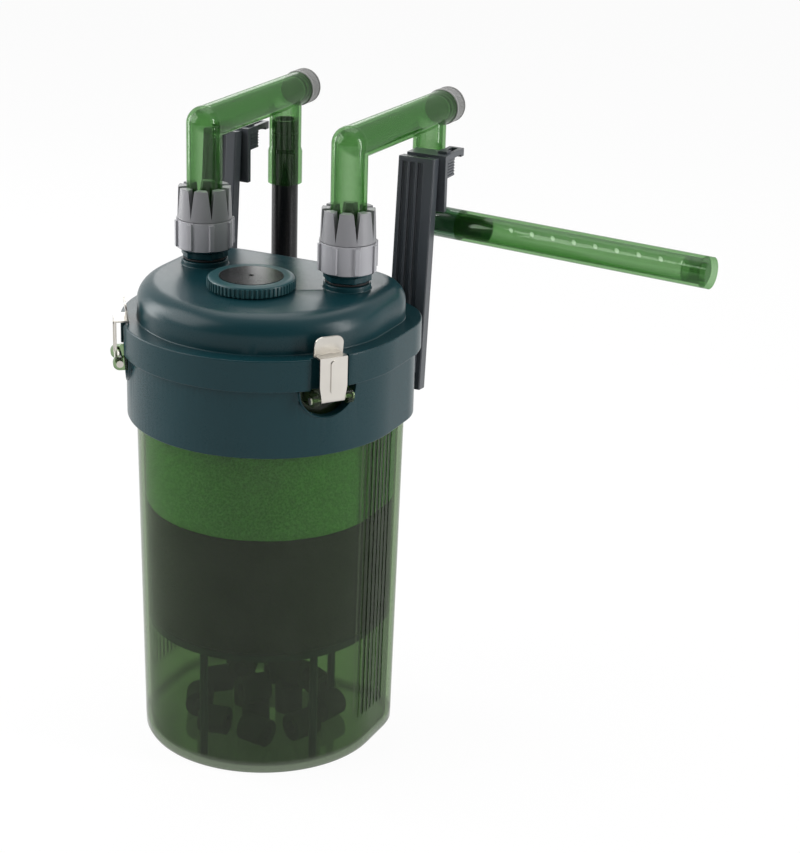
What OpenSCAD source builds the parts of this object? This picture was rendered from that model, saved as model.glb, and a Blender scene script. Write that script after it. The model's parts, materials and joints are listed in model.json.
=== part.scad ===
// Hang-on canister filter for a small aquarium.
// Origin: centre of the canister's round front, on the surface that it stands on.
// X runs to the right, Y towards the flat back (the tank side), Z up.

/* [Canister] */
// Width of the head's rim, left to right
body_w = 140; // [130:1:160]
// Depth of the head's rim, front to flat back
body_d = 125; // [120:1:140]
// Radius of the two rear corners of the rim
corner_r = 36; // [32:1:40]
// How far the canister wall lies inside the rim
shell_inset = 7.2; // [6.8:0.1:8]
// Wall thickness of the canister
shell_wall = 2.6; // [2:0.1:3.2]
// Thickness of the canister floor
floor_t = 3; // [2:0.5:4]
// Height at which the tapered lower wall ends
draft_h = 170; // [150:1:180]
// How far the wall has drawn in at the bottom
taper = 2.5; // [1:0.1:4]
// Size of the eased edge round the underside
foot_edge = 2.2; // [1:0.1:2.6]
// Number of grip grooves on each side
groove_n = 7; // [3:1:9]
// Spacing of the grip grooves
groove_pitch = 3.8; // [3:0.1:4.5]
// Width of a grip groove
groove_w = 1.1; // [0.6:0.1:1.6]
// Depth of a grip groove
groove_depth = 0.9; // [0.4:0.1:1.2]
// Height of the grip grooves' lower ends
groove_z = 20; // [15:1:60]

/* [Collar] */
// Height of the collar's lower edge
collar_z = 169.6; // [160:0.1:175]
// How far the collar's outside lies inside the rim
collar_inset = 2.7; // [2.4:0.1:3.2]
// Radius of the half-round notches round the latch lugs
notch_r = 14.1; // [13:0.1:15]

/* [Head] */
// Height of the rim's lower edge
band_z = 202.9; // [200:0.1:206]
// Height of the rim itself
band_h = 15.2; // [14.5:0.1:17]
// Thickness of the rim's wall
band_wall = 4.2; // [4:0.1:4.5]
// How far the dome lies inside the rim
dome_inset = 8; // [7.5:0.1:10]
// Thickness of the dome's wall
dome_wall = 2.6; // [2:0.1:3]
// Height of the dome above the rim
dome_h = 17.7; // [17:0.1:22]
// Radius of the dome's top edge
dome_r = 10; // [6:0.5:12]
// Thickness of the head's inner plate
plate_t = 3.5; // [3:0.1:4]
// Thickness of the main seal
seal_t = 3; // [2:0.1:3.5]

/* [Latches] */
// Angle of the two front latches from the X axis
latch_angle = 36.5; // [30:0.5:45]
// Width of a latch clip
clip_w = 13.9; // [12:0.1:14.5]
// Thickness of the clip's sheet
clip_t = 0.8; // [0.6:0.1:1]
// Radius of the latch pins
pin_r = 1; // [0.8:0.1:1.2]
// Height of the latch pins' axis
pin_z = 199; // [198:0.1:199.5]
// How far the latch pins stand outside the rim
pin_out = 1.3; // [1:0.1:1.8]
// Thickness of one latch lug
lug_t = 3.1; // [2.5:0.1:3.4]
// Height of the clip's finger tab
tab_h = 9.5; // [8:0.5:12]

/* [Filler cap] */
// Distance of the filler neck's axis from the flat back
filler_back = 70.2; // [69:0.1:72]
// Radius of the filler cap
cap_r = 21.2; // [20:0.1:23]
// Thickness of the filler cap's knurled rim
cap_h = 5.4; // [4.5:0.1:7]
// Number of knurls on the filler cap
cap_knurls = 72; // [36:1:80]
// Inside radius of the filler neck
neck_r = 14.4; // [13:0.1:14.8]
// Radius of the filler cap's centre disc
disc_r = 15.2; // [13:0.1:16]

/* [Pipes] */
// Distance of each port from the centre line
port_x = 38.95; // [38:0.05:42]
// Distance of the ports behind the origin
port_y = 8.1; // [6:0.1:10]
// Outside radius of the rising pipes
pipe_r = 8.65; // [8.3:0.05:9]
// Wall thickness of all green pipes
pipe_wall = 1.6; // [1.2:0.1:2]
// Rise of the horizontal arms' axis above the collets
arm_rise = 30.6; // [27:0.1:55]
// Distance between the rising and the falling leg
arm_reach = 82; // [80:0.5:90]
// Outside radius of the falling legs
leg_r = 8.2; // [8:0.05:8.4]
// How far the outlet pipe is turned outwards
outlet_turn = 2.27; // [0:0.01:2.5]
// Outside radius of the black intake tube
intake_r = 6.8; // [6:0.1:7]
// Height of the intake tube's lower end
intake_z = 131; // [120:1:150]
// Length of the intake strainer
strainer_len = 72; // [60:1:80]

/* [Spray bar] */
// Height of the spray bar's axis
bar_z = 250.4; // [248:0.1:254]
// Outside radius of the spray bar
bar_r = 7.7; // [7.5:0.1:8]
// Length of the spray bar
bar_len = 132.3; // [120:0.1:160]
// How far the spray bar is turned towards the front
bar_turn = 6.5; // [0:0.5:10]
// Number of spray holes
hole_n = 9; // [5:1:9]
// Spacing of the spray holes
hole_pitch = 11.7; // [10:0.1:12]
// Radius of a spray hole
hole_r = 1.5; // [1:0.1:2]

/* [Port unions] */
// Radius of the port boss on the head
boss_r = 11.4; // [11:0.1:12.5]
// Width across flats of the union's hexagon
union_af = 20.6; // [20:0.1:22]
// Radius of the lock nut without its ribs
nut_r = 13.75; // [13.6:0.05:15]
// Number of ribs on a lock nut, and of slots in its collet
rib_n = 8; // [6:1:10]
// Radius of the collet at its top
collet_r = 12.65; // [12:0.05:13]

/* [Hanger] */
// Backwards lean of the rails
lean = 4.2; // [3:0.1:5]
// Width of a rail
rail_w = 19; // [18:0.5:20]
// Depth of a rail
rail_d = 6; // [5.6:0.1:7]
// Length of a rail
rail_len = 116.3; // [110:0.1:125]
// Height of a rail's lower end
rail_z = 172; // [170:1:176]
// Place of the outlet side's rail
rail_x = 47.5; // [47:0.1:48]
// Distance between the two rails
rail_span = 110; // [109:0.1:111]
// Width of a hook
hook_w = 21; // [20:0.1:22]
// Length of a hook's top plate
hook_len = 22; // [18:0.5:22.5]
// Height of a hook
hook_h = 28; // [26:0.5:32]

/* [Filter media] */
// Height of the tray's underside
tray_z = 60.5; // [55:0.5:70]
// Height of the black foam's underside
foam_z = 64; // [58:0.5:75]
// Height of the floss pad's underside
floss_z = 123.5; // [100:0.5:130]
// Height of the floss pad's top
floss_top = 172; // [150:1:180]

/* [Hidden] */
$fn = 72;
eps = 0.01;
run_gap = 0.08;     // radial clearance of a running fit
slip_gap = 0.3;     // clearance between faces that only pass each other

// Plan outline
body_r = body_w / 2;
flat_y = body_d - body_r;
corner_x = body_r - corner_r;
side_len = flat_y - corner_r;

// Heights of the head and what it closes
band_top = band_z + band_h;
deck_z = band_top + dome_h;
shelf_t = 3;
plate_top = band_top - shelf_t;
plate_z = plate_top - plate_t;
rim_z = plate_z - seal_t;
collar_top = band_z - slip_gap;
rim_inset = band_wall + 0.8;
inner_inset = shell_inset + shell_wall;
inner_foot = 0.8;
ceiling_z = deck_z - dome_wall;

// Latches
slot_depth = collar_inset;
slot_w = clip_w + 4.7;
hook_bite = 1;
clip_lip = slot_depth + hook_bite;
knuckle_r = pin_r + run_gap + clip_t;
lug_gap = clip_w / 2 + 0.15;
lug_out = 3.2;

// Filler cap
filler_y = flat_y - filler_back;
cap_foot = deck_z + 0.4;
disc_t = 1.2;

// Ports
boss_h = 2.8;
port_seal_r = 0.7;
hex_z = deck_z + boss_h + 2 * port_seal_r;
hex_h = 4.4;
nut_z = hex_z + hex_h + slip_gap;
nut_h = 14.2;
spigot_r = 12.2;
spigot_top = nut_z + 11.2;
collet_neck_r = 10.4;
collet_z = nut_z + nut_h + slip_gap;
collet_h = 15.2;
union_tail_r = 9.2;
arm_z = collet_z + collet_h + arm_rise;
pipe_foot = hex_z + 0.4;
pipe_in = pipe_r - pipe_wall;
arm_r = pipe_r - 0.15;
arm_in = arm_r - pipe_wall;
arm_end = arm_reach + 12.6;
plug_h = 9.4;
cap_seal_y = 2.65;
end_cap_r = arm_r + 1;
leg_in = intake_r + run_gap;
socket_z = 258.5;
flare_z = socket_z + 18.5;
intake_top = flare_z + 14.5;
leg_out_in = leg_r - pipe_wall;
leg_out_z = bar_z + bar_r - 1;

// Spray bar
bar_in = bar_r - 1.4;
bar_start = 20.2;
spigot_len = 15;
elbow_r = leg_r + 1.2;

// Hanger
rail_y = flat_y + 0.2;
rail_back_gap = 0.3;
groove_front = 1.4;
slot_neck = 4.8;
slot_head = 8.8;
slot_lip = 1.3;
slot_in = 1.9;
key_gap = 0.2;
hook_t = 3;
hook_shift = 2.4;
hook_y = rail_y + (rail_len - 1) * sin(lean) + rail_d + 0.4;
hook_top = rail_z + rail_len + 0.4;
hook_plate = 2.8;
jaw_d = 8;
jaw_h = 8.5;
jaw_w = 7.8;
jaw_slot = 3.2;
jaw_centre = hook_w / 2 - jaw_w / 2 - 0.2;
notch_x = 2.5;

// Pump
pump_y = flat_y - 30;
well_r = 8.5;
well_wall = 1.5;
well_h = 16;
stator_size = [40, 32, 16.4];
rotor_gap = 0.6;
rotor_h = 11.6;
shaft_r = 1.5;
shaft_top = plate_top + 14.4;
bush_t = 1.2;
volute_r = 17;
volute_wall = 2;
volute_h = 12.6;
volute_z = plate_z - volute_h;
duct_r = 6.2;
inflow_r = 3;
impeller_r = 13;
impeller_z = volute_z + 3.6;
vane_t = 1.2;
hub_r = 4.5;

// Screws of the head and of the brackets
screw_r = 1.3;
screw_hole_r = screw_r + 0.03;
screw_head_r = 2.7;
screw_post_r = 3.4;
screw_places = [[18 - body_r, -8], [body_r - 18, -8], [-27, flat_y - 16.5], [27, flat_y - 16.5]];
bracket_screw_x = [18, 28];
bracket_screw_z = band_z + band_h / 2;
pad_out = 5.5;

// Gland at the head's back
gland_x = 20;
gland_z = plate_top + 8;
gland_r = 3.8;
gland_bore = 2.6;
gland_flange = 1.4;

// Inner pipework
stand_r = 6.9;
stand_wall = 1.3;
stand_top = plate_z - 3;
socket_r = 10;
socket_h = 13;

// Tray and loose media
leg_inset = 16.5;
leg_circle = body_r - leg_inset;
leg_back_y = 21.6;
leg_back_x = [27.5, -32.5];
tray_leg_r = 2;
leg_places = [[leg_circle * cos(-94.8), leg_circle * sin(-94.8)],
  [leg_circle * cos(-34.6), leg_circle * sin(-34.6)],
  [leg_back_x[0], leg_back_y], [leg_back_x[1], leg_back_y]];
chunk_r = 7;
chunk_bore = 3.4;
chunk_l = 14;
chunk_circle = 33;
// Directions of the outer chunks, which keep clear of the tray's legs
chunk_angles = [16, 62, 104, 166.5, 208, 250, 292, 334];

// ---------- shared shapes ----------

// D-shaped plan outline: round front, straight sides, rounded rear corners, flat back
module d_shape(inset) {
  r = body_r - inset;
  intersection() {
    circle(r);
    translate([-r, -r]) square([2 * r, r + eps]);
  }
  translate([-r, 0]) square([2 * r, side_len]);
  translate([-corner_x, 0]) square([2 * corner_x, flat_y - inset]);
  for (s = [-1, 1]) translate([s * corner_x, side_len]) circle(corner_r - inset);
}

// A straight-sided slab of that outline
module d_slab(inset, z0, z1) {
  translate([0, 0, z0]) linear_extrude(z1 - z0) d_shape(inset);
}

// How far the tapered wall has drawn in at a height
function taper_at(z) = taper * max(0, 1 - z / draft_h);

// A D-shaped ring
module d_ring(outer, inner, z0, z1) {
  difference() {
    d_slab(outer, z0, z1);
    d_slab(inner, z0 - 1, z1 + 1);
  }
}

// Half section of a block with a rounded top edge, for revolving
module dome_half(w, z0, z1, r) {
  translate([0, z0]) square([w - r, z1 - z0]);
  translate([0, z0]) square([w, z1 - z0 - r]);
  translate([w - r, z1 - r]) circle(r);
}

// Half section of the tapered wall, with an eased edge at its foot
module wall_half(w, z0, z1, foot) {
  ease = 0.3 * foot;
  polygon([[0, z0], [w - taper_at(z0) - foot, z0], [w - taper_at(z0) - ease, z0 + ease],
    [w - taper_at(z0 + foot), z0 + foot], [w, draft_h], [w, z1], [0, z1]]);
}

// D-shaped solid with either section all round: top > 0 rounds the top edge
module d_solid(inset, z0, z1, top, foot) {
  w = body_r - inset;
  rotate([0, 0, 180]) rotate_extrude(angle = 180) d_half(w, z0, z1, top, foot);
  translate([0, side_len, 0]) rotate([90, 0, 0]) linear_extrude(side_len) {
    d_half(w, z0, z1, top, foot);
    mirror([1, 0]) d_half(w, z0, z1, top, foot);
  }
  for (s = [0, 1]) mirror([s, 0, 0]) translate([corner_x, side_len, 0])
    rotate_extrude(angle = 90) d_half(corner_r - inset, z0, z1, top, foot);
  translate([-corner_x, 0, 0]) rotate([90, 0, 90]) linear_extrude(2 * corner_x)
    d_half(flat_y - inset, z0, z1, top, foot);
}

module d_half(w, z0, z1, top, foot) {
  if (top > 0) dome_half(w, z0, z1, top);
  else wall_half(w, z0, z1, foot);
}

// Places its children at a latch: local X points outwards from the rim's face
module at_latch(i) {
  angle = [-latch_angle, latch_angle - 180, 90][i];
  out = [body_r, body_r, flat_y][i];
  rotate([0, 0, angle]) translate([out, 0, 0]) children();
}

module tube(r, r_in, h) {
  difference() {
    cylinder(r = r, h = h);
    translate([0, 0, -1]) cylinder(r = r_in, h = h + 2);
  }
}

module ring(r, t) {
  rotate_extrude() translate([r, 0]) circle(t);
}

module cyl_x(r, h) {
  rotate([0, 90, 0]) cylinder(r = r, h = h);
}

module cyl_y(r, h) {
  rotate([-90, 0, 0]) cylinder(r = r, h = h);
}

// ---------- canister ----------

// Grip grooves down both sides, following the tapered wall and ending behind the collar
module grip_grooves() {
  r = body_r - shell_inset;
  run_on = 3;
  tilt = atan(taper / draft_h);
  for (s = [0, 1]) mirror([s, 0, 0]) for (i = [0:groove_n - 1]) {
    y = (i - (groove_n - 1) / 2) * groove_pitch;
    x = y < 0 ? sqrt(r * r - y * y) : r;
    translate([x, y - groove_w / 2, draft_h]) rotate([0, tilt, 0])
      translate([-groove_depth, 0, groove_z - draft_h])
        cube([3, groove_w, draft_h + run_on - groove_z]);
  }
}

// One latch lug, cut by the pin hole
module latch_lug(s) {
  root = shell_inset + 1.2;
  translate([0, s, 0]) rotate([90, 0, 0]) linear_extrude(lug_t) difference() {
    union() {
      translate([pin_out, pin_z]) circle(lug_out);
      translate([-root, pin_z - lug_out]) square([root + pin_out, 2 * lug_out]);
    }
    translate([pin_out, pin_z]) circle(pin_r + 0.03);
  }
}

module canister() {
  color("olivedrab", 0.6) {
    difference() {
      union() {
        d_solid(shell_inset, 0, rim_z, 0, foot_edge);
        d_slab(rim_inset, collar_top, rim_z);
      }
      d_solid(inner_inset, floor_t, rim_z + 1, 0, inner_foot);
      grip_grooves();
    }
    for (i = [0:2]) at_latch(i) {
      latch_lug(-lug_gap);
      latch_lug(lug_gap + lug_t);
    }
  }
}

module collar() {
  color("darkslategray") {
    difference() {
      d_ring(collar_inset, shell_inset - slip_gap, collar_z, collar_top);
      for (i = [0:2]) at_latch(i)
        translate([-shell_inset - 4, 0, band_z]) cyl_x(notch_r, shell_inset + 6);
    }
    for (i = [0:2]) at_latch(i) notch_lip();
  }
}

// Thin raised edge round a notch
module notch_lip() {
  lip = 0.8;
  sunk = 1.6;
  depth = 2.1;
  reach = notch_r + lip + 5;
  intersection() {
    translate([-collar_inset - sunk, 0, band_z]) rotate([0, 90, 0]) tube(notch_r + lip, notch_r, depth);
    translate([-reach, -reach, collar_z]) cube([2 * reach, 2 * reach, collar_top - collar_z]);
  }
}

module latch_pins() {
  color("silver") for (i = [0:2]) at_latch(i)
    translate([pin_out, -lug_gap - lug_t - 0.4, pin_z]) {
      cyl_y(pin_r, 2 * (lug_gap + lug_t) + 0.8);
      for (y = [-0.6, 2 * (lug_gap + lug_t) + 0.4]) translate([0, y, 0]) cyl_y(pin_r + 0.7, 0.8);
    }
}

// Sheet-metal clip: knuckle, face with a raised bead, lip over the rim, finger tab
module clip(i) {
  lip_z = band_top + slip_gap;
  face_x = pin_out + knuckle_r - clip_t;
  half = clip_w / 2;
  color("gainsboro") at_latch(i) difference() {
    union() {
      translate([pin_out, -half + 1, pin_z]) cyl_y(knuckle_r, clip_w - 2);
      translate([face_x, 0, 0]) rotate([90, 0, 90]) linear_extrude(clip_t)
        polygon([[-half + 1, pin_z], [half - 1, pin_z], [half, pin_z + 6],
          [half, lip_z + clip_t], [-half, lip_z + clip_t], [-half, pin_z + 6]]);
      translate([-clip_lip, -half, lip_z]) cube([clip_lip + face_x + clip_t, clip_w, clip_t]);
      translate([-clip_lip, 0, lip_z]) rotate([0, 8, 0]) rotate([90, 0, 90])
        linear_extrude(clip_t) finger_tab(half + 0.4);
      translate([face_x + clip_t, 0, pin_z]) bead();
    }
    translate([pin_out, -half, pin_z]) cyl_y(pin_r + run_gap, clip_w);
  }
}

module finger_tab(half) {
  r = 4;
  translate([-half, 0]) square([2 * half, tab_h - r]);
  translate([-half + r, 0]) square([2 * (half - r), tab_h]);
  for (s = [-1, 1]) translate([s * (half - r), tab_h - r]) circle(r);
}

// Raised bead down the clip's face
module bead() {
  bead_r = 1.5;
  bead_low = 4.2;
  bead_len = 12.8;
  bead_t = 0.5;
  for (z = [bead_low, bead_low + bead_len]) translate([-eps, 0, z]) cyl_x(bead_r, bead_t);
  translate([-eps, -bead_r, bead_low]) cube([bead_t, 2 * bead_r, bead_len]);
}

module clip_right() clip(0);
module clip_left() clip(1);
module clip_rear() clip(2);

module main_seal() {
  color("dimgray") d_ring(rim_inset + 0.2, inner_inset - 0.6, rim_z, plate_z);
}

// ---------- filter media ----------

// Perforated plate that carries the foam
module media_tray() {
  plate_h = foam_z - tray_z;
  hole_step = 11;
  drain_r = 2.2;
  stand_gap = 0.1;
  color("darkslategray") difference() {
    translate([0, 0, tray_z]) linear_extrude(plate_h)
      d_shape(inner_inset + slip_gap + taper_at(tray_z));
    for (x = [-4:4], y = [-4:3])
      if (norm([x, y]) < 4.2 && norm([x * hole_step + port_x, y * hole_step - port_y]) > 13)
        translate([x * hole_step, y * hole_step, tray_z - 1]) cylinder(r = drain_r, h = plate_h + 2);
    translate([-port_x, port_y, tray_z - 1]) cylinder(r = stand_r + stand_gap, h = plate_h + 2);
  }
}

module tray_legs() {
  color("darkslategray") for (p = leg_places)
    translate([p[0], p[1], floor_t]) cylinder(r = tray_leg_r, h = tray_z - floor_t);
}

// Loose bio-media: short ceramic tubes that lie or stand on the floor, and three on top
module media_chunks() {
  first = -80;
  inner_circle = 13;
  upper_circle = 16;
  upper_z = floor_t + 3 * chunk_r + slip_gap;
  color("darkolivegreen") {
    for (i = [0:len(chunk_angles) - 1]) rotate([0, 0, chunk_angles[i]])
      translate([chunk_circle, 0, floor_t + chunk_r]) chunk_lying((i % 3) * 30 - 30);
    for (i = [0:2]) rotate([0, 0, i * 120 + first]) translate([inner_circle, 0, floor_t])
      tube(chunk_r, chunk_bore, chunk_l);
    for (i = [0:2]) rotate([0, 0, i * 120 + first]) translate([upper_circle, 0, upper_z])
      chunk_lying(40);
  }
}

module chunk_lying(turn) {
  rotate([90, 0, turn]) translate([0, 0, -chunk_l / 2]) tube(chunk_r, chunk_bore, chunk_l);
}

// A block of foam that fills the canister, with a hole for the standpipe
module foam_block(z0, z1, hole) {
  difference() {
    translate([0, 0, z0]) linear_extrude(z1 - z0)
      d_shape(inner_inset + slip_gap + taper_at(z0));
    translate([-port_x, port_y, z0 - 1]) cylinder(r = hole, h = z1 - z0 + 2);
  }
}

module coarse_foam() {
  color("black") foam_block(foam_z, floss_z, stand_r + 2.5);
}

module floss_pad() {
  color("darkseagreen") foam_block(floss_z, floss_top, stand_r + slip_gap);
}

// Inner intake pipe that stands on the tray and plugs into the head's plate
module standpipe() {
  foot = tray_z - 8;
  color("olivedrab") translate([-port_x, port_y, 0]) difference() {
    union() {
      translate([0, 0, foot]) cylinder(r = stand_r, h = stand_top - foot);
      translate([0, 0, foam_z]) cylinder(r = stand_r + 2, h = 2.4);
    }
    translate([0, 0, foot - 1]) cylinder(r = stand_r - stand_wall, h = stand_top - foot + 2);
  }
}

// ---------- head ----------

module head_cover() {
  color("darkslategray") {
    difference() {
      union() {
        d_solid(dome_inset, band_z, deck_z, dome_r, 0);
        d_slab(0, band_z, band_top);
        for (s = [-1, 1]) translate([s * port_x, port_y, deck_z - 1])
          cylinder(r = boss_r, h = boss_h + 1);
      }
      d_solid(dome_inset + dome_wall, band_z - 1, ceiling_z, dome_r - dome_wall, 0);
      d_slab(band_wall, band_z - 1, plate_top);
      for (i = [0:2]) at_latch(i)
        translate([-slot_depth, -slot_w / 2, band_z - 1]) cube([10, slot_w, band_h + 2]);
      for (s = [-1, 1]) translate([s * port_x, port_y, plate_top])
        cylinder(r = union_tail_r + slip_gap, h = 40);
      translate([0, filler_y, plate_top]) cylinder(r = neck_r, h = 40);
      translate([gland_x, flat_y - 20, gland_z]) cyl_y(gland_r + 0.02, 20);
      bracket_holes(screw_hole_r);
    }
    for (p = screw_places) translate([p[0], p[1], plate_top]) difference() {
      cylinder(r = screw_post_r, h = ceiling_z - plate_top + eps);
      translate([0, 0, -1]) cylinder(r = screw_hole_r, h = 9);
    }
  }
}

// Tube that leads from the filler cap down to the inner plate
module filler_neck() {
  neck_wall = 2.6;
  color("darkslategray") translate([0, filler_y, plate_top])
    tube(neck_r + neck_wall, neck_r, ceiling_z - plate_top);
}

// Inner plate: closes the head, carries the pump and the inlet socket
module head_plate() {
  sink_r = 3;
  sink_h = 1.6;
  outflow_r = 6.8;
  color("slategray") difference() {
    union() {
      d_slab(rim_inset, plate_z, plate_top);
      translate([-port_x, port_y, plate_z - socket_h]) cylinder(r = socket_r, h = socket_h);
      translate([0, pump_y, plate_z]) cylinder(r = well_r + well_wall, h = well_h + plate_t);
    }
    translate([0, filler_y, plate_z - 1]) cylinder(r = neck_r, h = 10);
    translate([-port_x, port_y, plate_z - socket_h - 1]) cylinder(r = stand_r + run_gap, h = 30);
    translate([port_x, port_y, plate_z - 1]) cylinder(r = outflow_r, h = 10);
    translate([0, pump_y, plate_z - 1]) cylinder(r = well_r, h = well_h + plate_t - 0.6);
    for (p = screw_places) translate([p[0], p[1], plate_z - 1]) {
      cylinder(r = screw_r + 0.4, h = 10);
      cylinder(r = sink_r, h = sink_h + 1);
    }
  }
}

module head_screws() {
  head_h = 1.5;
  screw_len = 10;
  color("silver") for (p = screw_places) translate([p[0], p[1], plate_z]) {
    translate([0, 0, 0.1]) cylinder(r = screw_head_r, h = head_h);
    translate([0, 0, 1]) cylinder(r = screw_r, h = screw_len - 1);
  }
}

// Sealed stator block round the rotor well
module pump_housing() {
  color("dimgray") translate([0, pump_y, plate_top]) difference() {
    translate([-stator_size[0] / 2, -stator_size[1] / 2, 0]) cube(stator_size);
    translate([0, 0, -1]) cylinder(r = well_r + well_wall + slip_gap, h = stator_size[2] + 2);
  }
}

// Impeller chamber and the duct to the outlet port
module volute_cover() {
  duct = norm([port_x, port_y - pump_y]);
  duct_angle = atan2(port_y - pump_y, port_x);
  outflow_r = 8.6;
  inflow_at = 8;
  color("dimgray") translate([0, pump_y, volute_z]) difference() {
    union() {
      cylinder(r = volute_r, h = volute_h);
      translate([port_x, port_y - pump_y, 0]) cylinder(r = outflow_r, h = volute_h);
      translate([0, 0, volute_h / 2]) rotate([0, 0, duct_angle]) cyl_x(duct_r, duct);
    }
    translate([0, 0, volute_wall]) cylinder(r = volute_r - volute_wall, h = volute_h);
    translate([port_x, port_y - pump_y, volute_wall])
      cylinder(r = outflow_r - volute_wall, h = volute_h);
    translate([0, 0, volute_h / 2]) rotate([0, 0, duct_angle]) cyl_x(duct_r - volute_wall, duct);
    for (a = [0:60:300]) rotate([0, 0, a]) translate([inflow_at, 0, -1]) cylinder(r = inflow_r, h = 4);
    translate([0, 0, 1]) cylinder(r = shaft_r + bush_t, h = 4);
  }
}

module impeller_shaft() {
  foot = volute_z + 1.4;
  color("white") translate([0, pump_y, foot]) cylinder(r = shaft_r, h = shaft_top - foot);
}

module shaft_bushes() {
  bush_gap = 0.02;
  upper_h = 2;
  color("black") translate([0, pump_y, 0]) {
    translate([0, 0, volute_z + 1]) tube(shaft_r + bush_t, shaft_r + bush_gap, 2.2);
    translate([0, 0, shaft_top - upper_h]) tube(shaft_r + 2, shaft_r + bush_gap, upper_h);
  }
}

module rotor_magnet() {
  color("black") translate([0, pump_y, plate_z + 0.5])
    tube(well_r - rotor_gap, shaft_r + run_gap, plate_t + rotor_h);
}

module impeller() {
  vane_h = 6;
  color("whitesmoke") translate([0, pump_y, impeller_z]) {
    tube(hub_r, shaft_r + run_gap, plate_z + 0.5 - impeller_z);
    difference() {
      for (a = [0:60:300]) rotate([0, 0, a])
        translate([0, -vane_t / 2, 0]) cube([impeller_r, vane_t, vane_h]);
      translate([0, 0, -1]) cylinder(r = hub_r - 0.1, h = vane_h + 4);
    }
  }
}

// Rubber gland where the mains lead enters the head
module cord_gland() {
  lip_h = 1.6;
  nose_h = 2.6;
  gland_len = dome_wall + gland_flange + lip_h + nose_h;
  color("black") translate([gland_x, flat_y - dome_inset - dome_wall - gland_flange, gland_z])
    difference() {
      union() {
        cyl_y(gland_r, dome_wall + gland_flange);
        cyl_y(gland_r + 0.4, gland_flange - 0.2);
        translate([0, dome_wall + gland_flange, 0]) cyl_y(gland_r + 1, lip_h);
        translate([0, dome_wall + gland_flange + lip_h, 0]) rotate([-90, 0, 0])
          cylinder(r1 = gland_r + 1, r2 = gland_r - 0.2, h = nose_h);
      }
      translate([0, -1, 0]) cyl_y(gland_bore, gland_len + 2);
    }
}

// ---------- filler cap ----------

module filler_cap() {
  spigot_len = 11;
  spigot_wall = 2.1;
  seat_in = 1.6;
  seat_w = 3;
  rib_out = 0.6;
  rib_w = 1;
  rib_low = 0.5;
  rib_short = 1.2;
  color("darkslategray") translate([0, filler_y, cap_foot]) difference() {
    union() {
      cylinder(r = cap_r - rib_out, h = cap_h);
      for (i = [0:cap_knurls - 1]) rotate([0, 0, i * 360 / cap_knurls])
        translate([cap_r - rib_w, -rib_w / 2, rib_low]) cube([rib_w, rib_w, cap_h - rib_short]);
      translate([0, 0, -spigot_len]) cylinder(r = neck_r - slip_gap, h = spigot_len + 1);
    }
    translate([0, 0, -spigot_len - 1])
      cylinder(r = neck_r - slip_gap - spigot_wall, h = spigot_len + 3);
    translate([0, 0, -1]) tube(neck_r + seat_in + seat_w, neck_r + seat_in, 3);
    translate([0, 0, cap_h - disc_t]) cylinder(r = disc_r, h = disc_t + 1);
  }
}

module filler_disc() {
  rim_gap = 0.05;
  hole = 1.3;
  color("dimgray") translate([0, filler_y, cap_foot + cap_h - disc_t]) tube(disc_r - rim_gap, hole, disc_t);
}

module filler_seal() {
  color("black") translate([0, filler_y, deck_z + 1.2 + eps]) ring(neck_r + 3.1, 1.15);
}

// ---------- port unions ----------

module port_union() {
  color("darkslategray") translate([0, port_y, 0]) difference() {
    union() {
      translate([0, 0, plate_top]) cylinder(r = union_tail_r, h = hex_z - plate_top);
      translate([0, 0, hex_z]) rotate([0, 0, 15]) cylinder(d = union_af / cos(30), h = hex_h, $fn = 6);
      translate([0, 0, hex_z]) cylinder(r = spigot_r - 1.4, h = hex_h + 1);
      translate([0, 0, hex_z + hex_h - 1]) cylinder(r = spigot_r, h = spigot_top - hex_z - hex_h + 1);
    }
    translate([0, 0, pipe_foot - 0.2]) cylinder(r = pipe_r + run_gap, h = 40);
    translate([0, 0, plate_top - 1]) cylinder(r = pipe_in, h = 40);
    translate([0, 0, spigot_top - 6.6]) cylinder(r = collet_neck_r + slip_gap / 2, h = 10);
  }
}

module port_seal() {
  color("black") translate([0, port_y, deck_z + boss_h + port_seal_r])
    ring(union_tail_r + port_seal_r, port_seal_r - eps);
}

// Ribbed lock nut
module lock_nut() {
  color("darkgray") translate([0, port_y, nut_z]) difference() {
    union() {
      cylinder(r = nut_r, h = nut_h);
      for (i = [0:rib_n - 1]) rotate([0, 0, i * 360 / rib_n])
        translate([nut_r - 1, -1.25, 0.6]) cube([2, 2.5, nut_h - 1.2]);
    }
    translate([0, 0, -1]) cylinder(r = spigot_r + run_gap, h = spigot_top - nut_z + 1.3);
    translate([0, 0, -1]) cylinder(r = collet_neck_r + slip_gap / 2, h = 30);
  }
}

// Split collet that grips the pipe: round neck, flared sleeve with pointed slots
module collet() {
  neck_z = spigot_top - 6.3;
  color("darkgray") translate([0, port_y, 0]) difference() {
    union() {
      translate([0, 0, neck_z]) cylinder(r = collet_neck_r, h = collet_z - neck_z + 1);
      translate([0, 0, collet_z]) cylinder(r1 = collet_r + 0.65, r2 = collet_r, h = collet_h);
    }
    translate([0, 0, neck_z - 1]) cylinder(r = pipe_r + run_gap, h = 40);
    for (i = [0:rib_n - 1]) rotate([0, 0, i * 360 / rib_n])
      translate([pipe_r - 1, 0, collet_z]) rotate([90, 0, 90]) linear_extrude(8)
        polygon([[0, 1.6], [1, collet_h + 1], [-1, collet_h + 1]]);
  }
}

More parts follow.
